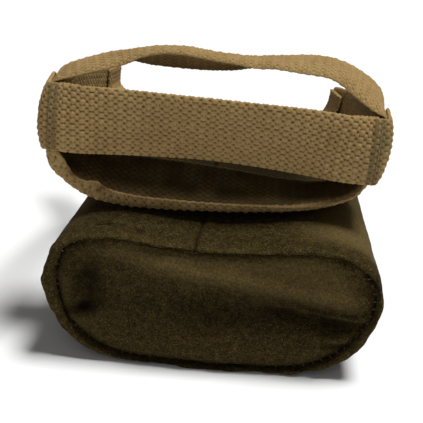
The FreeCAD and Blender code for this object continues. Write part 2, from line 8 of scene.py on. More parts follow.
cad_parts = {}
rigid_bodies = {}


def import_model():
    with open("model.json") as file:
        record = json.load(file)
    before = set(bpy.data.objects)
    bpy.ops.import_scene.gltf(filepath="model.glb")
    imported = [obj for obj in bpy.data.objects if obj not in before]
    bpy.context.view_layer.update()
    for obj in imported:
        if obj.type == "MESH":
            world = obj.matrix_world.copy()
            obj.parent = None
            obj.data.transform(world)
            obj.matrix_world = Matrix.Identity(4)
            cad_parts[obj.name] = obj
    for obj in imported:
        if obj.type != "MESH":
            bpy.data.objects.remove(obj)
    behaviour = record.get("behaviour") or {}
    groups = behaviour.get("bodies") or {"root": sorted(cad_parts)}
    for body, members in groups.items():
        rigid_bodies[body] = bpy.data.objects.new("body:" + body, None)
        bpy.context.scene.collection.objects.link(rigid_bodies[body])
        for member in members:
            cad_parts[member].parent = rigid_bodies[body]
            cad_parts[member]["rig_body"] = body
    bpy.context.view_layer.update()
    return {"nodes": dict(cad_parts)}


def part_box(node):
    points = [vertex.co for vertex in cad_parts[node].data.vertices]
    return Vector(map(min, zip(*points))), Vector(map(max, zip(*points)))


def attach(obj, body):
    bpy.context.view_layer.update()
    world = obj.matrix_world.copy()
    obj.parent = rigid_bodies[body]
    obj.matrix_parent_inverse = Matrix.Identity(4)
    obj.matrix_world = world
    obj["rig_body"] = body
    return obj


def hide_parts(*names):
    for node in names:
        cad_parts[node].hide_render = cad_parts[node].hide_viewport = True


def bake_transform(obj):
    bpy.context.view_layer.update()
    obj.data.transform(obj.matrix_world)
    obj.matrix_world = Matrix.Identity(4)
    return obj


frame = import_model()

# A felt-covered water bottle lies on its rounded side, and its webbing carrier lies on top of it.
# Metres, in the frame of the CAD model: +Y runs from the bottle's base to its neck, +Z is up.

MM = 0.001
nodes = frame["nodes"]
rng = np.random.default_rng(7)

# ---- the frame's own sizes

WRAP_LOW, WRAP_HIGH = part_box("felt_side_wrap")
NECK_LOW, NECK_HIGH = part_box("bottle_neck")
CORK_LOW, CORK_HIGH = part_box("stopper_cork")
CAP_LOW, CAP_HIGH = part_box("stopper_cap")

HALF_WIDTH = (WRAP_HIGH.x - WRAP_LOW.x) / 2
THICKNESS = 74 * MM         # of the covered bottle as it lies
BASE_Y = WRAP_LOW.y
BODY_LENGTH = WRAP_HIGH.y - WRAP_LOW.y
SIDE_TAPER = 0.06           # half width lost per length from the base
REST_SINK = 0.9 * MM        # the felt is pressed flat where it lies on the floor
NECK_Z = THICKNESS / 2      # height of the neck's axis
FELT_NECK_HOLE = 16.5 * MM

# Half of the kidney section, as fractions of the half width and of the thickness.
HALF_SECTION = (
    (0.28, 0.0), (0.50, 0.01), (0.67, 0.06), (0.81, 0.15), (0.91, 0.28), (0.975, 0.44), (1.0, 0.60),
    (0.975, 0.76), (0.90, 0.90), (0.76, 0.98), (0.55, 1.0), (0.25, 0.96))
SECTION_TOP = 0.945         # the hollow side dips to this share in the middle

# The shoulders: length from the base rim, share of the half width, share of the thickness.
SHOULDERS = ((140 * MM, 0.9045, 1.0), (152 * MM, 0.85, 0.95), (162 * MM, 0.71, 0.84), (169 * MM, 0.51, 0.68),
             (172 * MM, 0.36, 0.52))

# The carrier's own frame: +X right, +Y away from its base strap, +Z up.
CARRIER = (Matrix.Translation((-5 * MM, -47 * MM, 119.1 * MM))
           @ Matrix.Rotation(math.radians(2.8), 4, "Z")
           @ Matrix.Rotation(math.radians(3.7), 4, "Y")
           @ Matrix.Rotation(math.radians(-6.0), 4, "X"))
TAPE = 2.4 * MM             # webbing thickness
TAPE_WIDTH = 33.5 * MM      # base strap and side arms
NARROW_TAPE = 25 * MM       # chapes and retaining strap

# The weave: one large knuckle per pitch along the tape and across it, and a small one between four of them.
PITCH_ALONG = 4.65 * MM
PITCH_ACROSS = 3.27 * MM
WEAVE_HEIGHT = 1.05 * MM    # from a pit to the top of a knuckle
LARGE_KNUCKLE = (1.85 * MM, 1.62 * MM, 1.0)     # half length, half width, height
SMALL_KNUCKLE = (1.35 * MM, 1.42 * MM, 0.82)


# ---- curves and grids

def smooth_open(points, count):
    """Catmull-Rom line through the points, at even steps of its length."""
    p = np.array(points, float)
    p = np.vstack([2 * p[0] - p[1], p, 2 * p[-1] - p[-2]])
    return even_steps(catmull_rom(p[:-3], p[1:-2], p[2:-1], p[3:], 24), count)


def closed_curve(points, steps=24):
    p = np.array(points, float)
    return catmull_rom(np.roll(p, 1, 0), p, np.roll(p, -1, 0), np.roll(p, -2, 0), steps)


def catmull_rom(before, start, end, after, steps):
    t = np.linspace(0, 1, steps, endpoint=False)[None, :, None]
    a, b, c, d = (v[:, None, :] for v in (before, start, end, after))
    square = (2 * a - 5 * b + 4 * c - d) * t ** 2
    cube = (3 * b - a - 3 * c + d) * t ** 3
    line = 0.5 * (2 * b + (c - a) * t + square + cube)
    return np.vstack([line.reshape(-1, start.shape[1]), end[-1:]])


def running_length(line):
    return np.concatenate([[0], np.cumsum(np.linalg.norm(np.diff(line, axis=0), axis=1))])


def points_at(want, lengths, line):
    return np.stack([np.interp(want, lengths, line[:, k]) for k in range(line.shape[1])], 1)


def even_steps(line, count):
    lengths = running_length(line)
    return points_at(np.linspace(0, lengths[-1], count), lengths, line)


def unit(vectors):
    return vectors / np.maximum(np.linalg.norm(vectors, axis=-1, keepdims=True), 1e-12)


def smoothstep(low, high, value):
    t = np.clip((value - low) / (high - low), 0, 1)
    return t * t * (3 - 2 * t)


def bump(value, centre, width):
    return np.exp(-((value - centre) / width) ** 2)


def lattice_noise(points, size, seed):
    """Smooth value noise from -1 to 1, with features of about the given size."""
    p = np.asarray(points, float) / size
    cell = np.floor(p).astype(np.int64)
    f = p - cell
    f = f * f * f * (f * (f * 6 - 15) + 10)
    total = np.zeros(p.shape[:-1])
    for corner in range(8):
        offset = np.array([corner & 1, corner >> 1 & 1, corner >> 2 & 1])
        c = cell + offset
        h = (c[..., 0] * 73856093) ^ (c[..., 1] * 19349663) ^ (c[..., 2] * 83492791) ^ (seed * 2654435761)
        h = (h ^ (h >> 13)) * 1274126177
        h = (h ^ (h >> 16)) & 0xFFFFFF
        weight = np.prod(np.where(offset == 1, f, 1 - f), axis=-1)
        total += weight * (h / 0x7FFFFF - 1.0)
    return total


def grid_faces(rows, columns, wrap_rows=False, wrap_columns=False):
    i = np.arange(rows if wrap_rows else rows - 1)
    j = np.arange(columns if wrap_columns else columns - 1)
    a, b = np.meshgrid(i, j, indexing="ij")
    a1 = (a + 1) % rows
    b1 = (b + 1) % columns
    quads = [a * columns + b, a1 * columns + b, a1 * columns + b1, a * columns + b1]
    return np.stack(quads, -1).reshape(-1, 4)


def add_object(name, data):
    made = bpy.data.objects.new(name, data)
    bpy.context.scene.collection.objects.link(made)
    return made


def make_mesh(name, points, faces, attributes=None):
    """Object from arrays of points and faces, with float attributes per point."""
    mesh = bpy.data.meshes.new(name)
    mesh.from_pydata(np.asarray(points).reshape(-1, 3).tolist(), [], [list(map(int, f)) for f in faces])
    for key, values in (attributes or {}).items():
        layer = mesh.attributes.new(key, "FLOAT", "POINT")
        layer.data.foreach_set("value", np.asarray(values, np.float32).ravel())
    mesh.shade_smooth()
    mesh.validate()
    mesh.update()
    return add_object(name, mesh)


def normals_of(grid, wrap_rows, wrap_columns=False):
    """Unit normals of a grid of points, from the change along its rows and columns."""
    def change(axis, wrap):
        if wrap:
            return np.roll(grid, -1, axis) - np.roll(grid, 1, axis)
        return np.gradient(grid, axis=axis)
    return unit(np.cross(change(1, wrap_columns), change(0, wrap_rows)))


# ---- materials

class Graph:
    """Short hand for a material's node tree."""

    def __init__(self, name, looks):
        self.material = bpy.data.materials.new(name)
        self.material.use_nodes = True
        self.tree = self.material.node_tree
        self.shader = self.tree.nodes["Principled BSDF"]
        self.feed_all(self.shader, looks)
        self.coordinates = self.node("TexCoord").outputs["Object"]

    def node(self, kind, inputs=None):
        made = self.tree.nodes.new("ShaderNode" + kind)
        self.feed_all(made, inputs or {})
        return made

    def feed_all(self, node, inputs):
        for key, value in inputs.items():
            self.feed(node.inputs[key], value)

    def link(self, a, b):
        self.tree.links.new(a, b)

    def feed(self, socket, value):
        """Links a socket, or sets a number or a colour."""
        if isinstance(value, bpy.types.NodeSocket):
            self.link(value, socket)
        elif isinstance(value, (int, float)):
            socket.default_value = value
        else:
            socket.default_value = (*value, 1)

    def noise(self, scale, detail=2.0, roughness=0.5, stretch=None):
        node = self.node("TexNoise", {"Scale": scale, "Detail": detail, "Roughness": roughness})
        source = self.coordinates
        if stretch:
            mapping = self.node("Mapping")
            mapping.inputs["Scale"].default_value = stretch
            self.link(source, mapping.inputs["Vector"])
            source = mapping.outputs["Vector"]
        self.link(source, node.inputs["Vector"])
        return node.outputs["Fac"]

    def ramp(self, value, stops):
        node = self.node("ValToRGB")
        elements = node.color_ramp.elements
        for element, (place, colour) in zip(elements, (stops[0], stops[-1])):
            element.position = place
            element.color = (*colour, 1)
        for place, colour in stops[1:-1]:
            element = elements.new(place)
            element.color = (*colour, 1)
        self.link(value, node.inputs["Fac"])
        return node.outputs["Color"]

    def grey(self, value, low, high, out_low=0.0, out_high=1.0):
        inputs = {"From Min": low, "From Max": high, "To Min": out_low, "To Max": out_high, "Value": value}
        return self.node("MapRange", inputs).outputs["Result"]

    def mix(self, factor, a, b):
        node = self.node("Mix")
        node.data_type = "RGBA"
        self.feed_all(node, {"Factor": factor, "A": a, "B": b})
        return [s for s in node.outputs if s.type == "RGBA"][0]

    def math(self, operation, a, b):
        node = self.node("Math", {0: a, 1: b})
        node.operation = operation
        return node.outputs[0]

    def attribute(self, name):
        node = self.node("Attribute")
        node.attribute_name = name
        return node.outputs["Fac"]

    def finish(self, colour, height=None, strength=0.5, distance=0.0005):
        self.link(colour, self.shader.inputs["Base Color"])
        if height is not None:
            node = self.node("Bump", {"Strength": strength, "Distance": distance, "Height": height})
            self.link(node.outputs["Normal"], self.shader.inputs["Normal"])
        return self.material


def felt_material():
    g = Graph("wool_felt", {"Roughness": 0.97, "Specular IOR Level": 0.05})
    blotch = g.noise(38, 4, 0.6)
    clump = g.noise(330, 4, 0.75)
    speck = g.noise(900, 3, 0.7)
    fine = g.noise(2000, 2, 0.6)
    pale = g.noise(1300, 2, 0.6)
    dull = g.ramp(blotch, [(0.3, (0.024, 0.015, 0.0035)), (0.55, (0.038, 0.0255, 0.006)),
                           (0.75, (0.052, 0.0385, 0.009))])
    light = g.ramp(fine, [(0.35, (0.006, 0.004, 0.001)), (0.5, (0.045, 0.030, 0.007)),
                          (0.64, (0.20, 0.145, 0.046))])
    colour = g.mix(0.55, dull, light)
    colour = g.mix(g.grey(clump, 0.45, 0.60, 0.0, 0.6), colour, (0.010, 0.0065, 0.002))
    colour = g.mix(g.grey(clump, 0.47, 0.36, 0.0, 0.5), colour, (0.095, 0.070, 0.022))
    colour = g.mix(g.grey(speck, 0.46, 0.62, 0.0, 0.6), colour, (0.010, 0.0065, 0.002))
    colour = g.mix(g.grey(pale, 0.58, 0.70, 0.0, 0.45), colour, (0.22, 0.17, 0.075))
    # Painted highlight: paler, yellower felt where the highlight mask says, broken up by the specks.
    highlight_share = g.math("MULTIPLY", g.attribute("painted_highlight"), g.grey(speck, 0.3, 0.6, 1.0, 0.45))
    colour = g.mix(highlight_share, colour, (0.180, 0.128, 0.046))
    # Near-black felt where the dark mask says: real marks and painted shade.
    colour = g.mix(g.attribute("dirt_and_shade"), colour, (0.008, 0.005, 0.002))
    height = g.math("ADD", g.math("MULTIPLY", speck, 1.0), g.math("MULTIPLY", clump, 1.5))
    return g.finish(colour, height, 0.9, 0.0016)


def webbing_material():
    g = Graph("khaki_webbing", {"Roughness": 0.93, "Specular IOR Level": 0.08})
    blotch = g.noise(55, 4, 0.6)
    yarn = g.noise(700, 3, 0.6)
    fine = g.noise(2600, 2, 0.5)
    base = g.ramp(blotch, [(0.28, (0.31, 0.196, 0.074)), (0.5, (0.375, 0.245, 0.096)),
                           (0.75, (0.42, 0.285, 0.12))])
    base = g.mix(g.grey(yarn, 0.35, 0.68, 0.0, 0.4), base, (0.19, 0.115, 0.040))
    base = g.mix(g.grey(fine, 0.45, 0.75, 0.0, 0.4), base, (0.52, 0.40, 0.21))
    # The first two tints are painted shade, in the weave's pits and on shaded faces; the last two are real
    # stains, brown and greenish.
    for mask, tint in (("pit_shade", (0.040, 0.022, 0.006)), ("painted_shade", (0.030, 0.021, 0.007)),
                       ("stain", (0.11, 0.045, 0.02)), ("green", (0.11, 0.105, 0.05))):
        base = g.mix(g.attribute(mask), base, tint)
    height = g.math("ADD", g.math("MULTIPLY", yarn, 0.5), g.math("MULTIPLY", fine, 0.6))
    return g.finish(base, height, 0.55)


def thread_material(name, dark, light):
    g = Graph(name, {"Roughness": 0.8, "Sheen Weight": 0.1})
    twist = g.noise(2500, 2, 0.5)
    return g.finish(g.ramp(twist, [(0.35, dark), (0.65, light)]), twist, 0.5, 0.0003)


def brass_material():
    g = Graph("aged_brass", {"Metallic": 1.0})
    tarnish = g.noise(160, 5, 0.65)
    scratch = g.noise(900, 2, 0.5, (1, 6, 1))
    colour = g.ramp(tarnish, [(0.32, (0.10, 0.062, 0.022)), (0.5, (0.33, 0.225, 0.085)),
                              (0.72, (0.52, 0.37, 0.15))])
    g.link(g.grey(tarnish, 0.3, 0.75, 0.72, 0.34), g.shader.inputs["Roughness"])
    return g.finish(colour, scratch, 0.15, 0.0003)


def tin_material():
    g = Graph("tinned_steel", {"Roughness": 0.42, "Metallic": 1.0})
    rust = g.noise(220, 5, 0.7)
    colour = g.ramp(rust, [(0.34, (0.12, 0.062, 0.03)), (0.47, (0.34, 0.32, 0.29)),
                           (0.75, (0.5, 0.49, 0.46))])
    g.link(g.grey(rust, 0.35, 0.7, 0.75, 0.33), g.shader.inputs["Roughness"])
    return g.finish(colour, rust, 0.2, 0.0003)


def enamel_material():
    g = Graph("enamelled_steel", {"Roughness": 0.16, "Coat Weight": 0.4, "Coat Roughness": 0.08})
    flow = g.noise(60, 3, 0.5)
    chip = g.noise(310, 4, 0.6)
    colour = g.ramp(flow, [(0.3, (0.010, 0.028, 0.065)), (0.7, (0.020, 0.05, 0.105))])
    colour = g.mix(g.grey(chip, 0.68, 0.7, 0.0, 1.0), colour, (0.05, 0.025, 0.012))
    return g.finish(colour, flow, 0.12, 0.001)


def cork_material():
    g = Graph("cork", {"Roughness": 0.85})
    grain = g.noise(420, 4, 0.65)
    pore = g.noise(900, 2, 0.5)
    colour = g.ramp(grain, [(0.3, (0.20, 0.10, 0.045)), (0.55, (0.42, 0.26, 0.13)),
                            (0.75, (0.52, 0.35, 0.19))])
    colour = g.mix(g.grey(pore, 0.6, 0.68, 0.0, 0.9), colour, (0.06, 0.03, 0.015))
    return g.finish(colour, g.math("SUBTRACT", grain, pore), 0.5, 0.0006)


LOOKS = {
    "wool_felt": felt_material(),
    "khaki_webbing": webbing_material(),
    "felt_thread": thread_material("felt_thread", (0.02, 0.013, 0.006), (0.10, 0.075, 0.04)),
    "khaki_thread": thread_material("khaki_thread", (0.12, 0.07, 0.03), (0.30, 0.21, 0.11)),
    "aged_brass": brass_material(),
    "tinned_steel": tin_material(),
    "enamelled_steel": enamel_material(),
    "cork": cork_material()}


def dress(piece, slot, body, replaced):
    """Gives a piece its material and body, and hides the CAD node that it stands for."""
    piece.data.materials.clear()
    piece.data.materials.append(LOOKS[slot])
    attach(piece, body)
    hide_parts(replaced)


# ---- the felt cover

def kidney(width_share, thickness_share, inset, count):
    """Even points (x, z) round the kidney section, starting under the bottle's middle."""
    half = HALF_WIDTH * width_share - inset
    tall = THICKNESS * thickness_share * (1 - 2 * inset / THICKNESS)
    right = [(x * half, (z - 0.5) * tall + NECK_Z) for x, z in HALF_SECTION]
    left = [(-x, z) for x, z in reversed(right)]
    bottom = (0.0, -tall / 2 + NECK_Z - REST_SINK)
    top = (0.0, (SECTION_TOP - 0.5) * tall + NECK_Z)
    return even_steps(closed_curve([bottom] + right + [top] + left), count + 1)[:-1]


def side_share(length):
    return 1 - SIDE_TAPER * length / HALF_WIDTH


def section_row(length, inset, count, width_share=None, thickness_share=1.0):
    share = side_share(length) if width_share is None else width_share
    flat = kidney(share, thickness_share, inset, count)
    return np.stack([flat[:, 0], np.full(count, BASE_Y + length), flat[:, 1]], 1)


def rest_on_floor(points, lift=0.15 * MM):
    """Presses points that would reach below the floor flat onto it."""
    z = points[..., 2]
    points[..., 2] = np.where(z < 2 * lift, lift + 0.25 * np.clip(z, 0, None), z)
    return points


def felt_relief(points, seed):
    """How far milled felt stands off its mean surface: slack, lumps and nap."""
    return (0.55 * MM * lattice_noise(points, 34 * MM, seed)
            + 0.28 * MM * lattice_noise(points, 11 * MM, seed + 1)
            + 0.13 * MM * lattice_noise(points, 3.6 * MM, seed + 2)
            + 0.10 * MM * lattice_noise(points, 1.5 * MM, seed + 3))


RIM_ROLL = 4.2 * MM         # how far the rolled rim runs back from its crest
# From the felt's outer face to the seam inside the rim, at angles round the base: wide on the left.
RIM_WIDTHS = (
    (-180, 8.0), (-165, 7.5), (-150, 6.0), (-130, 4.0), (-110, 2.6), (-90, 2.2), (-60, 3.0),
    (-45, 4.5), (-30, 5.5), (-19, 5.0), (-2, 4.7), (18, 4.2), (31, 5.0), (44, 4.4), (54, 2.8),
    (90, 2.0), (120, 2.0), (132, 4.0), (141, 5.2), (159, 7.6), (180, 8.0))
BACK_SEAM_X = -8 * MM       # the seam along the hollow side
SEAM_SINK = 1.0 * MM        # how deep the shoulder seam lies


def rim_row(length, share, extra, count):
    """Section at a length, moved inwards by a share of the rim's width and by some more."""
    flat = kidney(side_share(length), 1.0, 0, count)
    ahead = np.roll(flat, -1, 0) - np.roll(flat, 1, 0)
    inwards = unit(np.stack([-ahead[:, 1], ahead[:, 0]], 1))
    angle = np.degrees(np.arctan2((flat[:, 1] - NECK_Z) / NECK_Z, flat[:, 0] / HALF_WIDTH))
    width = np.interp(angle, [a for a, w in RIM_WIDTHS], [w * MM for a, w in RIM_WIDTHS])
    flat = flat + inwards * (width * share + extra)[:, None]
    return np.stack([flat[:, 0], np.full(count, BASE_Y + length), flat[:, 1]], 1)


def build_side_wrap():
    """The felt round the bottle, from the shoulder seam to the rolled rim at the base."""
    around = 620
    rows = []
    lengths = []
    for length in np.linspace(BODY_LENGTH + 0.4 * MM, RIM_ROLL, 128):
        rows.append(section_row(length, 0, around))
        lengths.append(length)
    for turn in np.linspace(0, math.pi, 26)[1:]:
        length = RIM_ROLL * (1 - math.sin(turn))
        rows.append(rim_row(length, (1 - math.cos(turn)) / 2, 0, around))
        lengths.append(length)
    for deeper in (1.2 * MM, 2.4 * MM):
        rows.append(rim_row(RIM_ROLL + deeper, 1, 0.2 * MM, around))
        lengths.append(RIM_ROLL + deeper)
    grid = np.array(rows)
    normals = normals_of(grid, False, True)
    normals *= np.sign(np.sum(normals[:64] * (grid[:64] - [0, 0, NECK_Z])))
    x, y, z = grid[..., 0], grid[..., 1], grid[..., 2]
    length = np.array(lengths)[:, None]
    relief = felt_relief(grid, 11)

    on_top = smoothstep(52 * MM, 62 * MM, z)
    seam_line = bump(x, BACK_SEAM_X + 0.6 * MM * np.sin(y / (9 * MM)), 0.9 * MM) * on_top
    relief -= 1.1 * MM * seam_line
    relief += 0.5 * MM * bump(x, BACK_SEAM_X + 3.2 * MM, 2.2 * MM) * on_top

    near_rim = bump(length, 1.5 * MM, 5 * MM)
    pull = lattice_noise(grid * [1, 0.3, 1], 6.5 * MM, 31)
    relief += 0.75 * MM * pull * near_rim
    shoulder_seam = bump(length, BODY_LENGTH, 1.3 * MM)
    relief -= SEAM_SINK * shoulder_seam

    end_left = smoothstep(-70 * MM, -84 * MM, x) * near_rim
    relief += 1.0 * MM * lattice_noise(grid, 4.5 * MM, 41) * end_left

    tear = hole_mask(grid, (-57 * MM, -66 * MM), (5.5 * MM, 1.8 * MM), 0.15) * on_top
    thin = hole_mask(grid, (-37 * MM, -70 * MM), (2.4 * MM, 3.2 * MM), 0.0) * on_top
    relief -= 3.0 * MM * tear + 1.2 * MM * thin
    split = hole_mask(grid[..., [1, 2, 0]], (-78 * MM, 56 * MM), (3.2 * MM, 6.0 * MM), 0.3)
    split *= smoothstep(70 * MM, 78 * MM, x)
    relief -= 2.2 * MM * split

    grid = grid + normals * relief[..., None]
    grid = rest_on_floor(grid)
    # Painted shadow of the carrier on the felt's upper side, darkening it there.
    carrier_shadow = smoothstep(-35 * MM, 0, y) * smoothstep(128 * MM, 100 * MM, y)
    carrier_shadow = carrier_shadow * bump(x, 20 * MM, 75 * MM) * on_top
    # Painted shade on the felt turned in behind the rim.
    turned_in = np.arange(len(rows))[:, None] > 150
    turned_in = turned_in * smoothstep(RIM_ROLL, RIM_ROLL + 2 * MM, length)
    # The darkening mixes real marks (tear, thin spot, seam, split) with the painted shade above.
    dirt_and_shade = 0.85 * tear + 0.5 * thin + 0.6 * seam_line + 0.75 * split + 0.72 * carrier_shadow
    dirt_and_shade = np.clip(dirt_and_shade + 0.35 * turned_in, 0, 1)
    # Painted highlight where the felt faces the light: its right side, its left end near the base, and weakly
    # along the rim.
    right_side = smoothstep(30 * MM, 72 * MM, x) * smoothstep(30 * MM, 60 * MM, z)
    right_side = right_side * smoothstep(-76 * MM, -62 * MM, y)
    left_side = smoothstep(-60 * MM, -76 * MM, x) * smoothstep(-70 * MM, -50 * MM, y)
    rim_edge = smoothstep(-70 * MM, -82 * MM, y)
    painted_highlight = 0.95 * right_side + 0.14 * rim_edge + 0.5 * left_side
    faces = grid_faces(len(rows), around, False, True)
    piece = make_mesh("felt_side_wrap_cloth", grid, faces, {"dirt_and_shade": dirt_and_shade, "painted_highlight": painted_highlight})
    dress(piece, "wool_felt", "bottle", "felt_side_wrap")


def hole_mask(grid, centre, radii, slant):
    """Oval mask on the first two coordinates, leaning by the slant."""
    dx = grid[..., 0] - centre[0]
    dy = grid[..., 1] - centre[1] - slant * dx
    return np.exp(-((dx / radii[0]) ** 2 + (dy / radii[1]) ** 2) ** 2)


def build_base_panel():
    """The felt that closes the base: slack, with a ledge, a long crease and a dent at one end."""
    around, rings = 560, 92
    rim = rim_row(0, 1, -0.5 * MM, around)
    centre = np.array([0, 0, NECK_Z])
    share = (np.linspace(0.0, 1.0, rings) ** 0.85)[:, None]
    grid = np.array([centre + (rim - centre) * [s, 1, s] for s in share[:, 0]])
    x, z = grid[..., 0], grid[..., 2]
    across = x / HALF_WIDTH
    up = z / THICKNESS

    edge = smoothstep(1.0, 0.80, share)
    out = np.zeros(x.shape) + 1.6 * MM * edge
    ledge_z = 0.80 - 0.10 * across - 0.16 * smoothstep(0.0, 1.0, across)
    ledge_z = ledge_z - 0.06 * np.cos(across * 3.0)
    ridge = bump(up, ledge_z, 0.07) * smoothstep(-0.62, -0.2, across)
    out += 3.8 * MM * ridge * edge
    hollow = bump(up, ledge_z - 0.17, 0.12) * smoothstep(-0.55, 0.1, across)
    out -= 2.8 * MM * hollow * edge
    belly = bump(up, 0.24, 0.16) * bump(across, 0.0, 0.75)
    out += 3.8 * MM * belly * edge

    crease_z = 0.585 - 0.105 * smoothstep(0.1, 0.95, across)
    crease = bump(up, crease_z, 0.025) * smoothstep(0.30, 0.6, across) * smoothstep(1.02, 0.9, across)
    out += 2.3 * MM * crease
    shadow = bump(up, crease_z - 0.075, 0.045) * smoothstep(0.22, 0.55, across)
    shadow = shadow * smoothstep(1.0, 0.85, across)
    out -= 3.8 * MM * shadow

    dent = np.exp(-(((across + 0.72) / 0.10) ** 2 + ((up - 0.62) / 0.20) ** 2))
    fold = bump(up, 0.42 + 0.5 * (across + 0.72), 0.05) * bump(across, -0.76, 0.10)
    out -= 5.6 * MM * dent + 3.4 * MM * fold
    cheek = np.exp(-(((across + 0.87) / 0.05) ** 2 + ((up - 0.58) / 0.22) ** 2))
    out += 2.6 * MM * cheek
    lip = bump(up, 0.33, 0.05) * bump(across, -0.80, 0.12)
    out += 2.4 * MM * lip
    pleat = bump(up, 0.255 - 0.25 * (across - 0.74), 0.03) * bump(across, 0.74, 0.10)
    out -= 2.2 * MM * pleat
    out += 1.0 * MM * bump(up, 0.335 - 0.25 * (across - 0.74), 0.035) * bump(across, 0.74, 0.11)

    pull = lattice_noise(grid * [1, 0, 1], 7 * MM, 57) * smoothstep(0.82, 0.97, share)
    out += 0.7 * MM * pull
    out += 1.5 * felt_relief(grid, 71)
    depth = 2.7 * MM + 1.6 * MM * smoothstep(0.9, 1.0, share)
    gap = smoothstep(-0.55, -0.95, across) * smoothstep(0.86, 1.0, share) * bump(up, 0.6, 0.35)
    depth = depth + 1.8 * MM * gap
    grid[..., 1] = BASE_Y + depth - out
    # Painted shade: a darker middle band, and darker at the rim's edge, in the gap, the dent, the fold, the
    # crease's hollow and the pleat.
    middle_band = bump(up, 0.46, 0.17) * bump(across, 0.15, 0.75) * edge
    dirt_and_shade = 0.85 * smoothstep(0.955, 1.0, share) + 0.5 * gap + 0.65 * dent + 0.6 * fold
    dirt_and_shade = dirt_and_shade + 0.35 * shadow + 0.42 * middle_band + 0.45 * pleat
    dirt_and_shade = np.clip(dirt_and_shade * (0.9 + 0.5 * lattice_noise(grid * [1, 0, 1], 6 * MM, 91)), 0, 1)
    faces = grid_faces(rings, around, False, True)
    # Painted highlight on the upper part that faces up into the light, and on the raised cheek and lip.
    upper = smoothstep(ledge_z - 0.10, ledge_z + 0.04, up) * edge
    painted_highlight = 0.08 + 0.60 * upper + 0.35 * cheek + 0.3 * lip
    piece = make_mesh("felt_base_panel_cloth", grid, faces[:, ::-1], {"dirt_and_shade": dirt_and_shade, "painted_highlight": painted_highlight})
    dress(piece, "wool_felt", "bottle", "felt_base_panel")


def build_shoulder_panel():
    """Felt over the shoulders, turned in round the neck."""
    around = 460
    weights = np.array([1 / MM, 50, 50])    # a share of 1 counts as 50 mm when the rows are spaced
    stations = smooth_open(np.array(SHOULDERS) * weights, 60) / weights
    rows = [section_row(l, 0, around, w, t) for l, w, t in stations]
    angle = np.arctan2(rows[-1][:, 2] - NECK_Z, rows[-1][:, 0])
    ring = np.stack([FELT_NECK_HOLE * np.cos(angle), np.full(around, rows[-1][0, 1]),
                     NECK_Z + FELT_NECK_HOLE * np.sin(angle)], 1)
    last = rows[-1]
    for share in np.linspace(0, 1, 12)[1:]:
        row = last * (1 - share) + ring * share
        row[:, 1] = last[0, 1] + 1.2 * MM * math.sin(share * math.pi) - 0.6 * MM * share
        rows.append(row)
    for deeper in (1 * MM, 2.5 * MM, 4 * MM):
        rows.append(ring - [0, deeper, 0])
    grid = np.array(rows)
    normals = normals_of(grid, False, True)
    normals *= np.sign(np.sum(normals[:20] * (grid[:20] - [0, 0, NECK_Z])))
    relief = felt_relief(grid, 91)
    y = grid[..., 1]
    relief -= SEAM_SINK * bump(y, BASE_Y + BODY_LENGTH, 1.3 * MM)
    relief += 0.5 * MM * lattice_noise(grid, 7 * MM, 95) * bump(y, BASE_Y + BODY_LENGTH, 6 * MM)
    relief[-4:] *= 0.2
    grid = rest_on_floor(grid + normals * relief[..., None])
    faces = grid_faces(len(rows), around, False, True)
    clean = np.zeros(grid.shape[:2])
    piece = make_mesh("felt_shoulder_cloth", grid, faces[:, ::-1], {"dirt_and_shade": clean, "painted_highlight": clean})
    dress(piece, "wool_felt", "bottle", "felt_shoulder_panel")


# ---- webbing

def knuckles(along, across):
    """Height of the weave, 0 in the pits to 1 on the knuckles, at lengths along and across."""
    a = along / PITCH_ALONG
    b = across / PITCH_ACROSS

    def dome(shift, radius_along, radius_across, top):
        da = (a - shift - np.round(a - shift)) * PITCH_ALONG / radius_along
        db = (b - shift - np.round(b - shift)) * PITCH_ACROSS / radius_across
        return top * np.sqrt(np.clip(1 - da ** 2 - db ** 2, 0, 1))
    return np.maximum(dome(0.0, *LARGE_KNUCKLE), dome(0.5, *SMALL_KNUCKLE))


def selvedge(first, last, outwards, reach):
    """Three lines that round off a tape's edge from one face to the other."""
    middle = (first + last) / 2
    return [0.72 * first + 0.28 * middle + outwards * reach * 0.8, middle + outwards * reach,
            0.72 * last + 0.28 * middle + outwards * reach * 0.8]


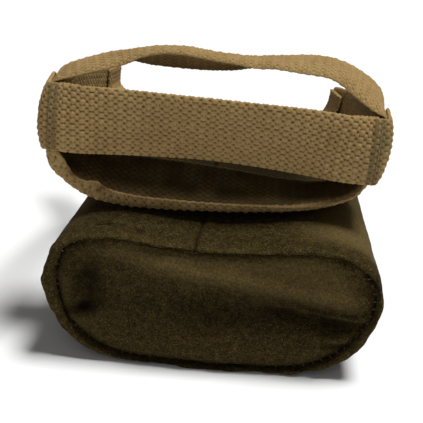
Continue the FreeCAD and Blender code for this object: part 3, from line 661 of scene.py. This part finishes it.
def tape_mesh(name, grid, closed, place=CARRIER, stains=(), calm=1.0, shift=0.0, painted_shade=0.0,
              painted_shade_under=0.0):
    """Woven tape whose middle surface is the grid: rows run along the tape, columns across it.

    The weave is flatter where calm is below 1. The two shade masks darken it with painted shade: the
    first the face that the grid's normals point to, the one for the underside the other face.
    """
    normals = normals_of(grid, closed)
    rows, columns = grid.shape[:2]
    steps = np.linalg.norm(np.diff(grid[:, columns // 2], axis=0, append=grid[:1, columns // 2]), axis=1)
    along = np.concatenate([[0], np.cumsum(steps)[:-1]])
    if closed:
        cells = round(steps.sum() / PITCH_ALONG)
        along = along * cells * PITCH_ALONG / steps.sum()
    width = np.linalg.norm(np.diff(grid, axis=1), axis=2).sum(1).mean()
    across = np.linspace(-width / 2, width / 2, columns)
    lengths, widths = np.meshgrid(along + shift, across, indexing="ij")
    wander = 0.35 * MM * lattice_noise(grid, 14 * MM, 3)
    uneven = 1 + 0.25 * lattice_noise(grid, 3.1 * MM, 5)
    front = knuckles(lengths + wander, widths + 0.5 * wander) * uneven
    back = knuckles(lengths + wander + PITCH_ALONG / 2, widths + 0.5 * wander) * uneven
    front_height = (front - 0.45) * WEAVE_HEIGHT * calm
    back_height = (back - 0.45) * WEAVE_HEIGHT * calm
    taper = 1 - 0.55 * np.abs(2 * widths / width) ** 14
    half = TAPE / 2 * taper
    top = grid + normals * (half + front_height)[..., None]
    under = grid - normals * (half + back_height)[..., None]

    loops = np.abs(np.sin(np.pi * (along + shift) / (PITCH_ALONG / 2)))
    reach = (0.35 * MM + 0.5 * MM * loops)[:, None]
    far_edge = selvedge(top[:, -1], under[:, -1], unit(grid[:, -1] - grid[:, -2]), reach)
    near_edge = selvedge(under[:, 0], top[:, 0], unit(grid[:, 0] - grid[:, 1]), reach)
    stack = [top[:, j] for j in range(columns)] + far_edge
    stack += [under[:, j] for j in range(columns - 1, -1, -1)] + near_edge
    points = np.stack(stack, 1)
    edge = np.full((rows, 3), 0.7)
    # Painted shade in the weave's pits, darkest where the weave is lowest.
    pit_shade = np.concatenate([front, edge, back[:, ::-1], edge], 1)
    pit_shade = np.clip(1.15 - 2.0 * pit_shade, 0, 1) * 0.9
    loop = points.shape[1]
    faces = grid_faces(rows, loop, closed, True)
    if not closed:
        faces = list(faces) + end_cap(loop, 0, columns) + end_cap(loop, rows - 1, columns)
    flat = points.reshape(-1, 3)
    masks = {"stain": np.zeros(len(flat)), "green": np.zeros(len(flat))}
    for key, centre, radius, amount in stains:
        away = np.linalg.norm((flat - np.array(centre) * MM) / (np.array(radius) * MM), axis=1)
        masks[key] += amount * np.exp(-away ** 2) * (0.75 + 0.5 * lattice_noise(flat, 2.5 * MM, 17))
    masks = {key: np.clip(value, 0, 1) for key, value in masks.items()}
    # Painted shade on the tape's two faces, from the two shade masks.
    painted_shade_layer = np.zeros((rows, loop))
    painted_shade_layer[:, :columns] = painted_shade
    painted_shade_layer[:, columns + 3:2 * columns + 3] = np.broadcast_to(painted_shade_under, (rows, columns))[:, ::-1]
    piece = make_mesh(name, points, faces, {"pit_shade": pit_shade.ravel(), "painted_shade": painted_shade_layer.ravel(), **masks})
    piece.data.transform(place)
    return piece


def end_cap(loop, row, columns):
    """Quads that close a tape's cut end."""
    base = row * loop
    quads = []
    for j in range(columns - 1):
        low = base + j
        high = base + 2 * columns + 2 - j
        quad = [low, low + 1, high - 1, high]
        quads.append(quad if row == 0 else quad[::-1])
    near = [base] + [base + 2 * columns + k for k in (2, 3, 4, 5)]
    far = [base + columns + k for k in (-1, 0, 1, 2, 3)]
    quads.append(near if row == 0 else near[::-1])
    quads.append(far[::-1] if row == 0 else far)
    return quads


CORNER_CROWN = 2.5 * MM     # the webbing's edges fall back by this much at the carrier's corners
SIDE_LEAN = {"left": 0.03, "right": 0.08}   # how far the carrier's sides lean outwards, as a slope


def straight_up(share, line):
    return np.array([0, 0, 1.0])


def turning(start_lean, end_lean):
    """Lean of a tape's width that turns evenly from one end to the other."""
    return lambda share, line: np.array(start_lean) * (1 - share) + np.array(end_lean) * share


def route_grid(route, width, count, columns, lean_at=straight_up, crown_sense=0):
    """Middle surface of a tape along a smooth route. Its edges fall back at the carrier's corners."""
    line = smooth_open(np.array(route) * MM, count)
    tangents = unit(np.gradient(line, axis=0))
    share = np.linspace(0, 1, count)[:, None]
    face = unit(np.cross(tangents, lean_at(share, line) + 0 * tangents))
    across = np.cross(face, tangents)
    sides = np.linspace(-1, 1, columns)[None, :, None]
    x, y = line[:, 0], line[:, 1]
    crown = CORNER_CROWN * smoothstep(66 * MM, 80 * MM, np.abs(x))
    crown = crown * (1 - smoothstep(45 * MM, 95 * MM, y))
    fall = crown_sense * crown[:, None, None] * sides ** 2
    return line[:, None, :] + across[:, None, :] * sides * width / 2 - face[:, None, :] * fall


# The ring band's middle line at four places across its width, as seen along Y: from the left side over
# the top, down the right side and back along the bottom.
BAND_LIP_LINE = (
    (-84.35, 0), (-83.8, 6), (-82.45, 12.5), (-81.05, 17.2), (-76.8, 19.4), (-64.3, 23.6),
    (-47.8, 29.4), (-38.2, 34.7), (-28.4, 37.7), (-18, 38.2), (-4.5, 36.8), (8, 36.2), (18, 35.2),
    (28, 36), (41, 35.2), (57, 33.8), (69.5, 26.8), (79.2, 20.8), (85.1, 17.9), (86, 14.5),
    (87.05, 6), (86.6, -3), (84.5, -12), (82.3, -17.4), (76.9, -25.4), (66, -30.4), (48, -34.4),
    (25, -36.6), (-1.7, -38.1), (-29.4, -38.6), (-42, -37.8), (-51, -36.1), (-57, -33),
    (-63.8, -33.2), (-69.8, -30.3), (-73.6, -25), (-77.2, -20.2), (-81.3, -17.6), (-83.2, -12.5),
    (-84.25, -6))
BAND_CURL_LINE = (
    (-84.8, 0), (-84.25, 6), (-82.9, 12.5), (-81.45, 17.3), (-77.8, 20.4), (-65.2, 25.2),
    (-48.8, 31.2), (-38.8, 35.6), (-28.8, 38.3), (-18, 38.9), (-4.5, 37.9), (8, 37.4), (18, 37),
    (28.2, 37.8), (41.4, 37.4), (57.8, 36), (70.8, 29.8), (81, 22.8), (85.6, 18.2), (86.4, 14.5),
    (87.45, 6), (87.05, -3), (84.95, -12), (82.8, -17.4), (77.6, -24.9), (66.8, -31), (48.8, -36.2),
    (24.8, -39.9), (-1.7, -42.4), (-29.3, -44.1), (-42, -44), (-54, -42.7), (-61.8, -40.9),
    (-69, -37.6), (-75.2, -33.4), (-80.8, -28.8), (-83.4, -22.4), (-81.9, -17.4), (-83.6, -12.5),
    (-84.65, -6))
BAND_MIDDLE_LINE = (
    (-85.6, 0), (-85.05, 6), (-83.7, 12.5), (-82.25, 17.4), (-78.5, 21.5), (-68, 26.6),
    (-52.5, 32), (-40, 34.9), (-29.5, 36.8), (-18, 37.5), (-4.5, 36.8), (8, 36.6), (18.3, 37.1),
    (28.6, 38.5), (42, 39.2), (59, 38.6), (72.8, 32.8), (83.6, 24.4), (86.5, 18.4), (87.3, 14.5),
    (88.25, 6), (87.85, -3), (85.75, -12), (83.6, -17.4), (78.3, -25.4), (67.2, -30.9), (49, -34.9),
    (24.7, -36.6), (-1.7, -37.4), (-29.3, -37.6), (-42, -37.4), (-54, -36), (-61.8, -34),
    (-69.2, -31.4), (-75.6, -28.7), (-80.6, -25.6), (-83.7, -21.7), (-82.7, -17.4), (-84.4, -12.5),
    (-85.45, -6))
BAND_FAR_LINE = (
    (-86.7, 0), (-86.15, 6), (-84.8, 12.5), (-83.3, 17.6), (-79.5, 20.6), (-71, 24), (-55.5, 28.3),
    (-41.5, 26.6), (-30.5, 25.9), (-18.5, 26), (-5, 26.7), (8, 28.2), (18.5, 30.8), (29, 34.6),
    (44, 38.2), (60, 38.4), (75.5, 33.6), (86, 26), (88.6, 19), (88.5, 14.5), (89.4, 6),
    (88.95, -3), (86.85, -12), (84.7, -17.6), (79.2, -25.2), (67.5, -29.6), (49, -31.5),
    (24.6, -30.7), (-1.7, -29.3), (-29.3, -28.2), (-42, -27.8), (-54, -27.1), (-62, -26.4),
    (-69.4, -25.4), (-75.4, -24.1), (-80, -22.6), (-83, -20.6), (-83.9, -17.6), (-85.5, -12.5),
    (-86.5, -6))
BAND_PLACES = (
    (BAND_LIP_LINE, 3.2), (BAND_CURL_LINE, 8.5), (BAND_MIDDLE_LINE, 20.0), (BAND_FAR_LINE, 37.0))
FAR_EDGE_LIFT = 2.4 * MM    # the far edge of the band's lower half stands this much higher


def build_ring_band():
    """The closed ring of webbing, lofted through its four lines."""
    rows, columns = 700, 58
    lines = []
    for outline, y in BAND_PLACES:
        lines.append(np.insert(closed_curve(outline, 40), 1, y, axis=1) * MM)
    lengths = running_length(lines[2])
    want = np.linspace(0, lengths[-1], rows, endpoint=False)
    stations = [points_at(want, lengths, line).ravel() for line in lines]
    grid = smooth_open(stations, columns).reshape(columns, rows, 3).swapaxes(0, 1)
    lift = smoothstep(12 * MM, 37 * MM, grid[..., 1]) * smoothstep(-5 * MM, -20 * MM, grid[..., 2])
    grid[..., 2] += FAR_EDGE_LIFT * lift * bump(grid[..., 0], 0, 75 * MM)
    slack = 0.35 * MM * lattice_noise(grid, 26 * MM, 23)
    grid = grid + normals_of(grid, True) * slack[..., None]
    stains = (("stain", (-69, 4, -30), (5, 6, 4), 0.75),
              ("stain", (-54, 4, -36), (4.5, 7, 4), 0.85),
              ("stain", (-78, 8, 14), (4, 8, 5), 0.35),
              ("stain", (-75, 14, 20), (5, 8, 4), 0.3))
    # Painted shade on the inside of the band's lower half, behind the lip, where the band shades itself.
    painted_shade = smoothstep(4 * MM, 12 * MM, grid[..., 1]) * smoothstep(8 * MM, -18 * MM, grid[..., 2])
    painted_shade = painted_shade * (0.82 + 0.15 * lattice_noise(grid, 9 * MM, 47))
    piece = tape_mesh("ring_band_webbing", grid, True, stains=stains, painted_shade=painted_shade)
    dress(piece, "khaki_webbing", "carrier", "ring_band")


# Millimetres in the carrier's frame, from here to the retaining strap's points.
STRAP_HALF = {"left": 87.4, "right": 90.0}  # from the carrier's middle to the strap at each corner
LAYER = 2.7                 # from one layer of webbing to the next at the corners
ARM_SLACK = 0.8
ARM_BEND = {"left": 68.8, "right": 76.4}    # each arm bends outwards at this distance and depth
ARM_BEND_Y = 146.0
ARM_SLOPE = 0.13
ARM_DROOP = 0.35
SIDE_SIGN = {"left": -1.0, "right": 1.0}
STITCH_ROWS_IN = (5.5, 8.5)         # from each corner to the sewing on the base strap's front
STITCH_ROWS_BACK = (12.0, 26.5)     # and to the sewing on its wrapped ends


def side_lean(side):
    return np.array([SIDE_LEAN[side], 0, 1.0])


def strap_lean(share, line):
    """The base strap leans back at its lower edge, most in the middle of the front."""
    middle = 1 - smoothstep(5 * MM, 80 * MM, np.abs(line[:, :1]))
    sides = side_lean("left") * (1 - share) + side_lean("right") * share
    return sides - np.array([0, 0.25, 0]) * middle


def build_base_strap():
    """The strap under the base, wrapped round both corners, with its grooves of sewing."""
    corner = [(-16, -3.0), (-7, -2.9), (-1.4, -0.9), (0, 6), (0.9, 16), (2.2, 30)]
    left = [(-(STRAP_HALF["left"] + x), y, 0) for x, y in reversed(corner)]
    right = [(STRAP_HALF["right"] + x, y, 0) for x, y in corner]
    route = left + [(-45, -2.0, 1.2), (0, 0.6, 1.8), (45, -1.8, 1.6)] + right
    grid = route_grid(route, TAPE_WIDTH, 440, 66, strap_lean, 1)
    x, y = grid[..., 0], grid[..., 1]
    normals = normals_of(grid, False)
    grid = grid + normals * (0.3 * MM * lattice_noise(grid, 24 * MM, 29))[..., None]

    front = y < 3 * MM
    pressed = np.zeros(x.shape)
    for side, sign in SIDE_SIGN.items():
        for inward in STITCH_ROWS_IN:
            pressed += bump(x, sign * (STRAP_HALF[side] - inward) * MM, 0.9 * MM) * front
    for back in STITCH_ROWS_BACK:
        pressed += bump(y, back * MM, 0.9 * MM) * (~front)
    pressed = np.clip(pressed, 0, 1)
    grid = grid - normals * (0.45 * MM * pressed)[..., None]
    stains = (("green", (87, -4, 8), (4, 6, 9), 0.55),
              ("green", (83, -4, -6), (3, 6, 8), 0.4),
              ("stain", (-86, 0, 6), (3, 6, 8), 0.25),
              ("green", (-79, -4, 12), (4, 5, 4), 0.35))
    # Painted shade in the sewn grooves on the front, on both faces.
    groove = 0.55 * pressed * front
    piece = tape_mesh("base_strap_webbing", grid, False, stains=stains, calm=1 - 0.75 * pressed,
                      painted_shade=groove, painted_shade_under=groove)
    dress(piece, "khaki_webbing", "carrier", "base_strap")


def arm_route(side):
    """Middle line of a side arm, from its end behind the base strap to its far end bent outwards."""
    half = STRAP_HALF[side] - 2 * LAYER - ARM_SLACK
    bend = ARM_BEND[side]
    outline = [(half - 14, 0.3, 0), (half - 6, 0.0, 0), (half - 1.2, 1.4, 0), (half, 6, 0),
               (half + 0.8, 22, 0), (half + 1.6, 40, 0), (half + 0.2, 72, -1.5),
               (bend + 5.3 + 0.08 * (half - bend), 105, -5.4)]
    for y, z in ((118, -7.4), (132, -9.3), (144, -10.8)):
        outline.append((bend + ARM_SLOPE * (ARM_BEND_Y - y), y, z))
    outline.append((bend + 1.2, ARM_BEND_Y + 2, -11.4))
    for along in (0, 8.5, 17):
        y = ARM_BEND_Y + 5 + 0.866 * along
        outline.append((bend + 3 + 0.5 * along, y, -12 - ARM_DROOP * along))
    return [(SIDE_SIGN[side] * x, y, z) for x, y, z in outline]


def build_side_arm(side):
    lean = turning(side_lean(side), (0, 0, 1))
    grid = route_grid(arm_route(side), TAPE_WIDTH, 330, 56, lean, SIDE_SIGN[side])
    y = grid[..., 1]
    normals = normals_of(grid, False)
    slack = smoothstep(45 * MM, 70 * MM, y) * smoothstep(118 * MM, 95 * MM, y)
    slack = 0.9 * MM * lattice_noise(grid, 40 * MM, 37) * slack
    grid = grid + normals * slack[..., None]
    piece = tape_mesh("side_arm_" + side + "_webbing", grid, False, shift=1.3 * MM)
    dress(piece, "khaki_webbing", "carrier", "side_arm_" + side)


def arm_frame(side):
    """Frame at a side arm's far end: X out of its face, Y along it, Z across it."""
    route = np.array(arm_route(side))
    along = Vector(route[-1] - route[-3]).normalized()
    face = along.cross(Vector((0, 0, 1))).normalized()
    across = face.cross(along)
    local = Matrix((face, along, across)).transposed().to_4x4()
    local.translation = Vector(route[-1]) * MM
    return CARRIER @ local


BAR_OFFSET = 6.0            # from the arm's end to the buckle's bar
CHAPE_LEG = 15.0            # how far the chape reaches back over the arm
CHAPE_GAP = 1.6             # from the arm's middle to the chape's inner face


def build_chape(side):
    """Narrow webbing folded round the buckle's bar."""
    middle = CHAPE_GAP + TAPE / MM / 2
    bend = [(middle * math.cos(a), BAR_OFFSET + middle * math.sin(a), 0)
            for a in np.linspace(0, math.pi, 7)]
    route = [(middle, -CHAPE_LEG, 0), (middle, -7, 0), (middle, 0, 0)] + bend
    route += [(-middle, 0, 0), (-middle, -7, 0), (-middle, -CHAPE_LEG, 0)]
    grid = route_grid(route, NARROW_TAPE, 110, 44)
    piece = tape_mesh("chape_" + side + "_webbing", grid, False, arm_frame(side))
    dress(piece, "khaki_webbing", "carrier", "chape_" + side)


SNAP_X, SNAP_Y = 6.0, 131.5 # the press stud
STRAP_TOP_Z = -27.0         # height of the flap's middle at the press stud
STRAP_DROP = 6.2            # from there down to the tab's
FLAP_HINGE = Vector((-66.6, SNAP_Y, -7.0))
ROOT_TOP = (-67.5, SNAP_Y, 6.0)
TAB_TOP = (75.5, SNAP_Y, 5.0)
FLAP_LEAN = 0.13


def build_retaining_strap():
    """Root and flap are one strap that bends at the hinge, and the tab is another."""
    route = [ROOT_TOP, (-67.5, SNAP_Y, -0.5), tuple(FLAP_HINGE), (-61.0, SNAP_Y, -12.0),
             (-53.0, SNAP_Y, -17.5), (-42.0, SNAP_Y, -22.0), (-24.0, SNAP_Y, -25.8),
             (SNAP_X - 8, SNAP_Y, STRAP_TOP_Z), (SNAP_X + 6, SNAP_Y, STRAP_TOP_Z),
             (SNAP_X + 20, SNAP_Y, STRAP_TOP_Z + 1)]
    grid = route_grid(route, NARROW_TAPE, 240, 44, turning((FLAP_LEAN, 1, 0), (0, 1, 0)))
    strap = tape_mesh("retaining_strap_webbing", grid, False)
    strap.data.materials.append(LOOKS["khaki_webbing"])
    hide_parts("retaining_strap_root", "retaining_strap_flap")
    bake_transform(strap)

    lower = STRAP_TOP_Z - STRAP_DROP
    route = [TAB_TOP, (75.3, SNAP_Y, 0.0), (73.8, SNAP_Y, -6.0), (69.5, SNAP_Y, -13.5),
             (60.5, SNAP_Y, -21.5), (47.0, SNAP_Y, -27.5), (32.0, SNAP_Y, -31.5),
             (SNAP_X + 8, SNAP_Y, lower), (SNAP_X - 6, SNAP_Y, lower), (SNAP_X - 16, SNAP_Y, lower)]
    grid = route_grid(route, NARROW_TAPE, 230, 44, turning((-FLAP_LEAN, 1, 0), (0, 1, 0)))
    tab = tape_mesh("retaining_tab_webbing", grid, False)
    dress(tab, "khaki_webbing", "carrier", "retaining_strap_tab")


# ---- sewing

def capsules(name, starts, ends, radius, sides=6):
    """Short rounded threads between pairs of points."""
    points = []
    faces = []
    profile = ((0.0, 0.35), (0.12, 0.8), (0.35, 1.0), (0.65, 1.0), (0.88, 0.8), (1.0, 0.35))
    for start, end in zip(starts, ends):
        start = np.array(start, float)
        axis = np.array(end, float) - start
        length = np.linalg.norm(axis)
        direction = axis / length
        helper = np.array([0, 0, 1.0]) if abs(direction[2]) < 0.8 else np.array([1.0, 0, 0])
        u = np.cross(direction, helper)
        u /= np.linalg.norm(u)
        w = np.cross(direction, u)
        base = len(points)
        for place, wide in profile:
            for k in range(sides):
                angle = 2 * math.pi * k / sides
                round_axis = u * math.cos(angle) + w * math.sin(angle)
                points.append(start + axis * place + radius * wide * round_axis)
        for ring in range(len(profile) - 1):
            for k in range(sides):
                a = base + ring * sides + k
                b = base + ring * sides + (k + 1) % sides
                faces.append((a, b, b + sides, a + sides))
        faces.append(tuple(base + k for k in reversed(range(sides))))
        faces.append(tuple(base + (len(profile) - 1) * sides + k for k in range(sides)))
    return make_mesh(name, points, faces)


def build_felt_stitches():
    inner = rim_row(4.3 * MM, 1, -0.9 * MM, 84)
    outer = rim_row(4.3 * MM, 1, 1.1 * MM, 84)
    wobble = rng.normal(0, 0.25 * MM, inner.shape)
    piece = capsules("base_seam_thread", inner + wobble, outer + wobble[::-1], 0.42 * MM)
    dress(piece, "felt_thread", "bottle", "base_seam_stitches")

    top = kidney(1.0, 1.0, 0.5 * MM, 400)
    seam_z = top[np.argmin(np.abs(top[:, 0] - BACK_SEAM_X) + (top[:, 1] < NECK_Z)), 1]
    y = BASE_Y + 5 * MM + 4.6 * MM * np.arange(29)
    x = np.full(29, BACK_SEAM_X) + rng.normal(0, 0.3 * MM, 29)
    starts = np.stack([x, y, np.full(29, seam_z - 1.35 * MM)], 1)
    piece = capsules("back_seam_thread", starts, starts + [0.5 * MM, 3 * MM, 0], 0.4 * MM)
    dress(piece, "felt_thread", "bottle", "back_seam_stitches")

    line = section_row(BODY_LENGTH - 2.2 * MM, 0.1 * MM, 88)
    line = line[line[:, 2] > 3 * MM]
    wobble = rng.normal(0, 0.3 * MM, line.shape)
    piece = capsules("shoulder_seam_thread", line + wobble, line + wobble[::-1] + [0, 4.4 * MM, 0], 0.42 * MM)
    dress(piece, "felt_thread", "bottle", "shoulder_seam_stitches")


def threads_in(place, pairs, name, node):
    starts, ends = zip(*pairs)
    piece = capsules(name, np.array(starts) * MM, np.array(ends) * MM, 0.42 * MM)
    piece.data.transform(place)
    dress(piece, "khaki_thread", "carrier", node)


STITCH = 2.3                # length of a stitch in the webbing
NARROW_ROW = [-10.8 + 3.1 * step for step in range(7)]      # stitches across a narrow tape


def stitch(start, spread):
    """One upright stitch, with both ends a little off."""
    start = np.array(start)
    first = start + rng.normal(0, spread, 3)
    return first, start + [0, 0, STITCH] + rng.normal(0, spread, 3)


def build_carrier_stitches():
    for side, sign in SIDE_SIGN.items():
        half = STRAP_HALF[side]
        pairs = []
        for step in range(10):
            z = -15.2 + 3.15 * step
            middle = (z + STITCH / 2) / (TAPE_WIDTH / MM / 2)
            fall = CORNER_CROWN / MM * middle ** 2
            for inward in STITCH_ROWS_IN:
                pairs.append(stitch((sign * (half - inward), -4.45 + fall, z), 0.12))
            for y in STITCH_ROWS_BACK:
                out = half + 0.072 * y + 0.95 - fall
                pairs.append(stitch((sign * out + SIDE_LEAN[side] * z, y, z), 0.1))
        threads_in(CARRIER, pairs, "corner_thread_" + side, "corner_stitching_" + side)

        pairs = []
        for along in (-3.5, -12.5):
            for z in NARROW_ROW:
                for face in (-1, 1):
                    pairs.append(stitch((face * (CHAPE_GAP + 2.6), along, z), 0.1))
        threads_in(arm_frame(side), pairs, "chape_thread_" + side, "chape_stitching_" + side)

    pairs = []
    for x, lean in ((ROOT_TOP[0] + 1.35, FLAP_LEAN), (TAB_TOP[0] - 1.35, -FLAP_LEAN)):
        for z in (4.0, 1.0):
            for shift in NARROW_ROW:
                far = shift + STITCH
                pairs.append(((x + lean * shift, SNAP_Y + shift, z), (x + lean * far, SNAP_Y + far, z)))
    threads_in(CARRIER, pairs, "retaining_thread", "retaining_strap_stitching")


# ---- neck, stopper and metal

def repaint(slot, *names):
    """Gives CAD nodes a better material and leaves their shape."""
    for name in names:
        nodes[name].data.materials.clear()
        nodes[name].data.materials.append(LOOKS[slot])


def lathe(name, profile, around=96):
    """Closed solid of revolution about the neck's axis. The profile gives radius and y, going round once."""
    line = np.array(profile, float)
    angles = np.linspace(0, 2 * math.pi, around, endpoint=False)
    rings = []
    for r, y in line:
        rings.append(np.stack([r * np.cos(angles), np.full(around, y), NECK_Z + r * np.sin(angles)], 1))
    return make_mesh(name, np.array(rings), grid_faces(len(line), around, True, True))


def rounded(points, radius, steps=5):
    """Closed profile with its corners rounded off."""
    p = np.array(points, float)
    result = []
    for index in range(len(p)):
        here = p[index]
        before = p[index - 1] - here
        after = p[(index + 1) % len(p)] - here
        reach = min(radius, 0.45 * np.linalg.norm(before), 0.45 * np.linalg.norm(after))
        a = here + before / np.linalg.norm(before) * reach
        b = here + after / np.linalg.norm(after) * reach
        for t in np.linspace(0, 1, steps):
            result.append((1 - t) ** 2 * a + 2 * t * (1 - t) * here + t ** 2 * b)
    return result


def build_neck_and_stopper():
    outer = 15 * MM
    inner = 13.6 * MM
    top = NECK_HIGH.y
    lip = 1.4 * MM
    profile = [(inner, NECK_LOW.y), (outer, NECK_LOW.y), (outer, top - 2.6 * lip),
               (outer + lip, top - 2 * lip), (outer + lip, top), (inner, top)]
    neck = lathe("neck_enamel", rounded(profile, 1.1 * MM))
    dress(neck, "enamelled_steel", "bottle", "bottle_neck")

    bore = 1.0 * MM
    profile = [(bore, CORK_LOW.y), (12.4 * MM, CORK_LOW.y), (13.5 * MM, top), (13.5 * MM, CORK_HIGH.y),
               (bore, CORK_HIGH.y)]
    cork = lathe("stopper_cork_turned", rounded(profile, 0.9 * MM))
    for vertex in cork.data.vertices:
        shade = lattice_noise(np.array(vertex.co), 1.6 * MM, 61)
        inwards = Vector((vertex.co.x, 0, vertex.co.z - NECK_Z)).normalized()
        vertex.co -= inwards * 0.12 * MM * max(0.0, float(shade))
    dress(cork, "cork", "stopper", "stopper_cork")

    skirt = 13.65 * MM
    profile = [(bore, CAP_HIGH.y - 0.9 * MM), (skirt, CAP_HIGH.y - 0.9 * MM), (skirt, CAP_LOW.y),
               (15.2 * MM, CAP_LOW.y), (15.2 * MM, CAP_HIGH.y - 0.2 * MM), (9 * MM, CAP_HIGH.y),
               (8 * MM, CAP_HIGH.y - 0.25 * MM), (bore, CAP_HIGH.y - 0.25 * MM)]
    cap = lathe("stopper_cap_spun", rounded(profile, 0.5 * MM))
    dress(cap, "tinned_steel", "stopper", "stopper_cap")

    repaint("tinned_steel", "stopper_eye", "stopper_washer", "stopper_ring")
    repaint("enamelled_steel", "bottle_body", "bottle_shoulder", "bottle_base_plate")


def soften(node, slot, width):
    """Copy of a CAD node with its edges rounded off."""
    body = nodes[node]["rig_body"]
    piece = add_object(node + "_cast", nodes[node].data.copy())
    weld = piece.modifiers.new("weld", "WELD")
    weld.merge_threshold = 0.01 * MM
    bevel = piece.modifiers.new("edges", "BEVEL")
    bevel.width = width
    bevel.segments = 3
    bevel.limit_method = "ANGLE"
    bevel.angle_limit = math.radians(35)
    dress(piece, slot, body, node)


def build_metal():
    for side in ("left", "right"):
        soften("buckle_" + side, "aged_brass", 0.5 * MM)
    repaint("aged_brass", "snap_cap", "snap_socket", "snap_stud", "snap_post")


build_side_wrap()
build_base_panel()
build_shoulder_panel()
build_ring_band()
build_base_strap()
for arm_side in ("left", "right"):
    build_side_arm(arm_side)
    build_chape(arm_side)
build_retaining_strap()
build_felt_stitches()
build_carrier_stitches()
build_neck_and_stopper()
build_metal()


# ---- floor, light and camera

FLOOR_REACH = 6.0
WORLD_STRENGTH = 0.07
CAMERA_AZIMUTH = math.radians(4.5)
CAMERA_ELEVATION = math.radians(24)
CAMERA_ROLL = math.radians(2.3)
CAMERA_DISTANCE = 0.436
CAMERA_TARGET = Vector((-0.8 * MM, BASE_Y, 91 * MM))
SENSOR = 36                 # millimetres across
LENS = 76.595745            # millimetres


def build_stage():
    far = FLOOR_REACH
    corners = [(-far, -far, 0), (far, -far, 0), (far, far, 0), (-far, far, 0)]
    floor = make_mesh("floor", corners, [(0, 1, 2, 3)])
    g = Graph("pale_floor", {"Roughness": 0.9})
    tone = g.noise(3, 2, 0.5)
    pale = g.ramp(tone, [(0.3, (0.88, 0.88, 0.88)), (0.7, (0.9, 0.9, 0.9))])
    floor.data.materials.append(g.finish(pale))

    world = bpy.data.worlds.new("studio")
    bpy.context.scene.world = world
    world.use_nodes = True
    background = world.node_tree.nodes["Background"]
    background.inputs["Color"].default_value = (1, 1, 1, 1)
    background.inputs["Strength"].default_value = WORLD_STRENGTH

    def sun(name, toward, spread, strength):
        light = bpy.data.lights.new(name, "SUN")
        light.angle = math.radians(spread)
        light.energy = strength
        lamp = add_object(name, light)
        lamp.rotation_euler = Vector(toward).to_track_quat("-Z", "Y").to_euler()

    sun("overhead", (-0.30, -0.03, -1.0), 18, 3.5)
    sun("front_fill", (0.05, 0.9, -0.75), 50, 0.25)


def build_camera():
    level = math.cos(CAMERA_ELEVATION)
    back = Vector((math.sin(CAMERA_AZIMUTH) * level, -math.cos(CAMERA_AZIMUTH) * level,
                   math.sin(CAMERA_ELEVATION)))
    camera = bpy.data.cameras.new("camera")
    camera.sensor_width = SENSOR
    camera.lens = LENS
    camera.clip_start = 0.01
    made = add_object("camera", camera)
    made.location = CAMERA_TARGET + back * CAMERA_DISTANCE
    aim = (-back).to_track_quat("-Z", "Y")
    made.rotation_mode = "QUATERNION"
    made.rotation_quaternion = aim @ Matrix.Rotation(CAMERA_ROLL, 3, "Z").to_quaternion()
    bpy.context.scene.camera = made


build_stage()
build_camera()
bpy.context.scene.view_settings.view_transform = "Standard"
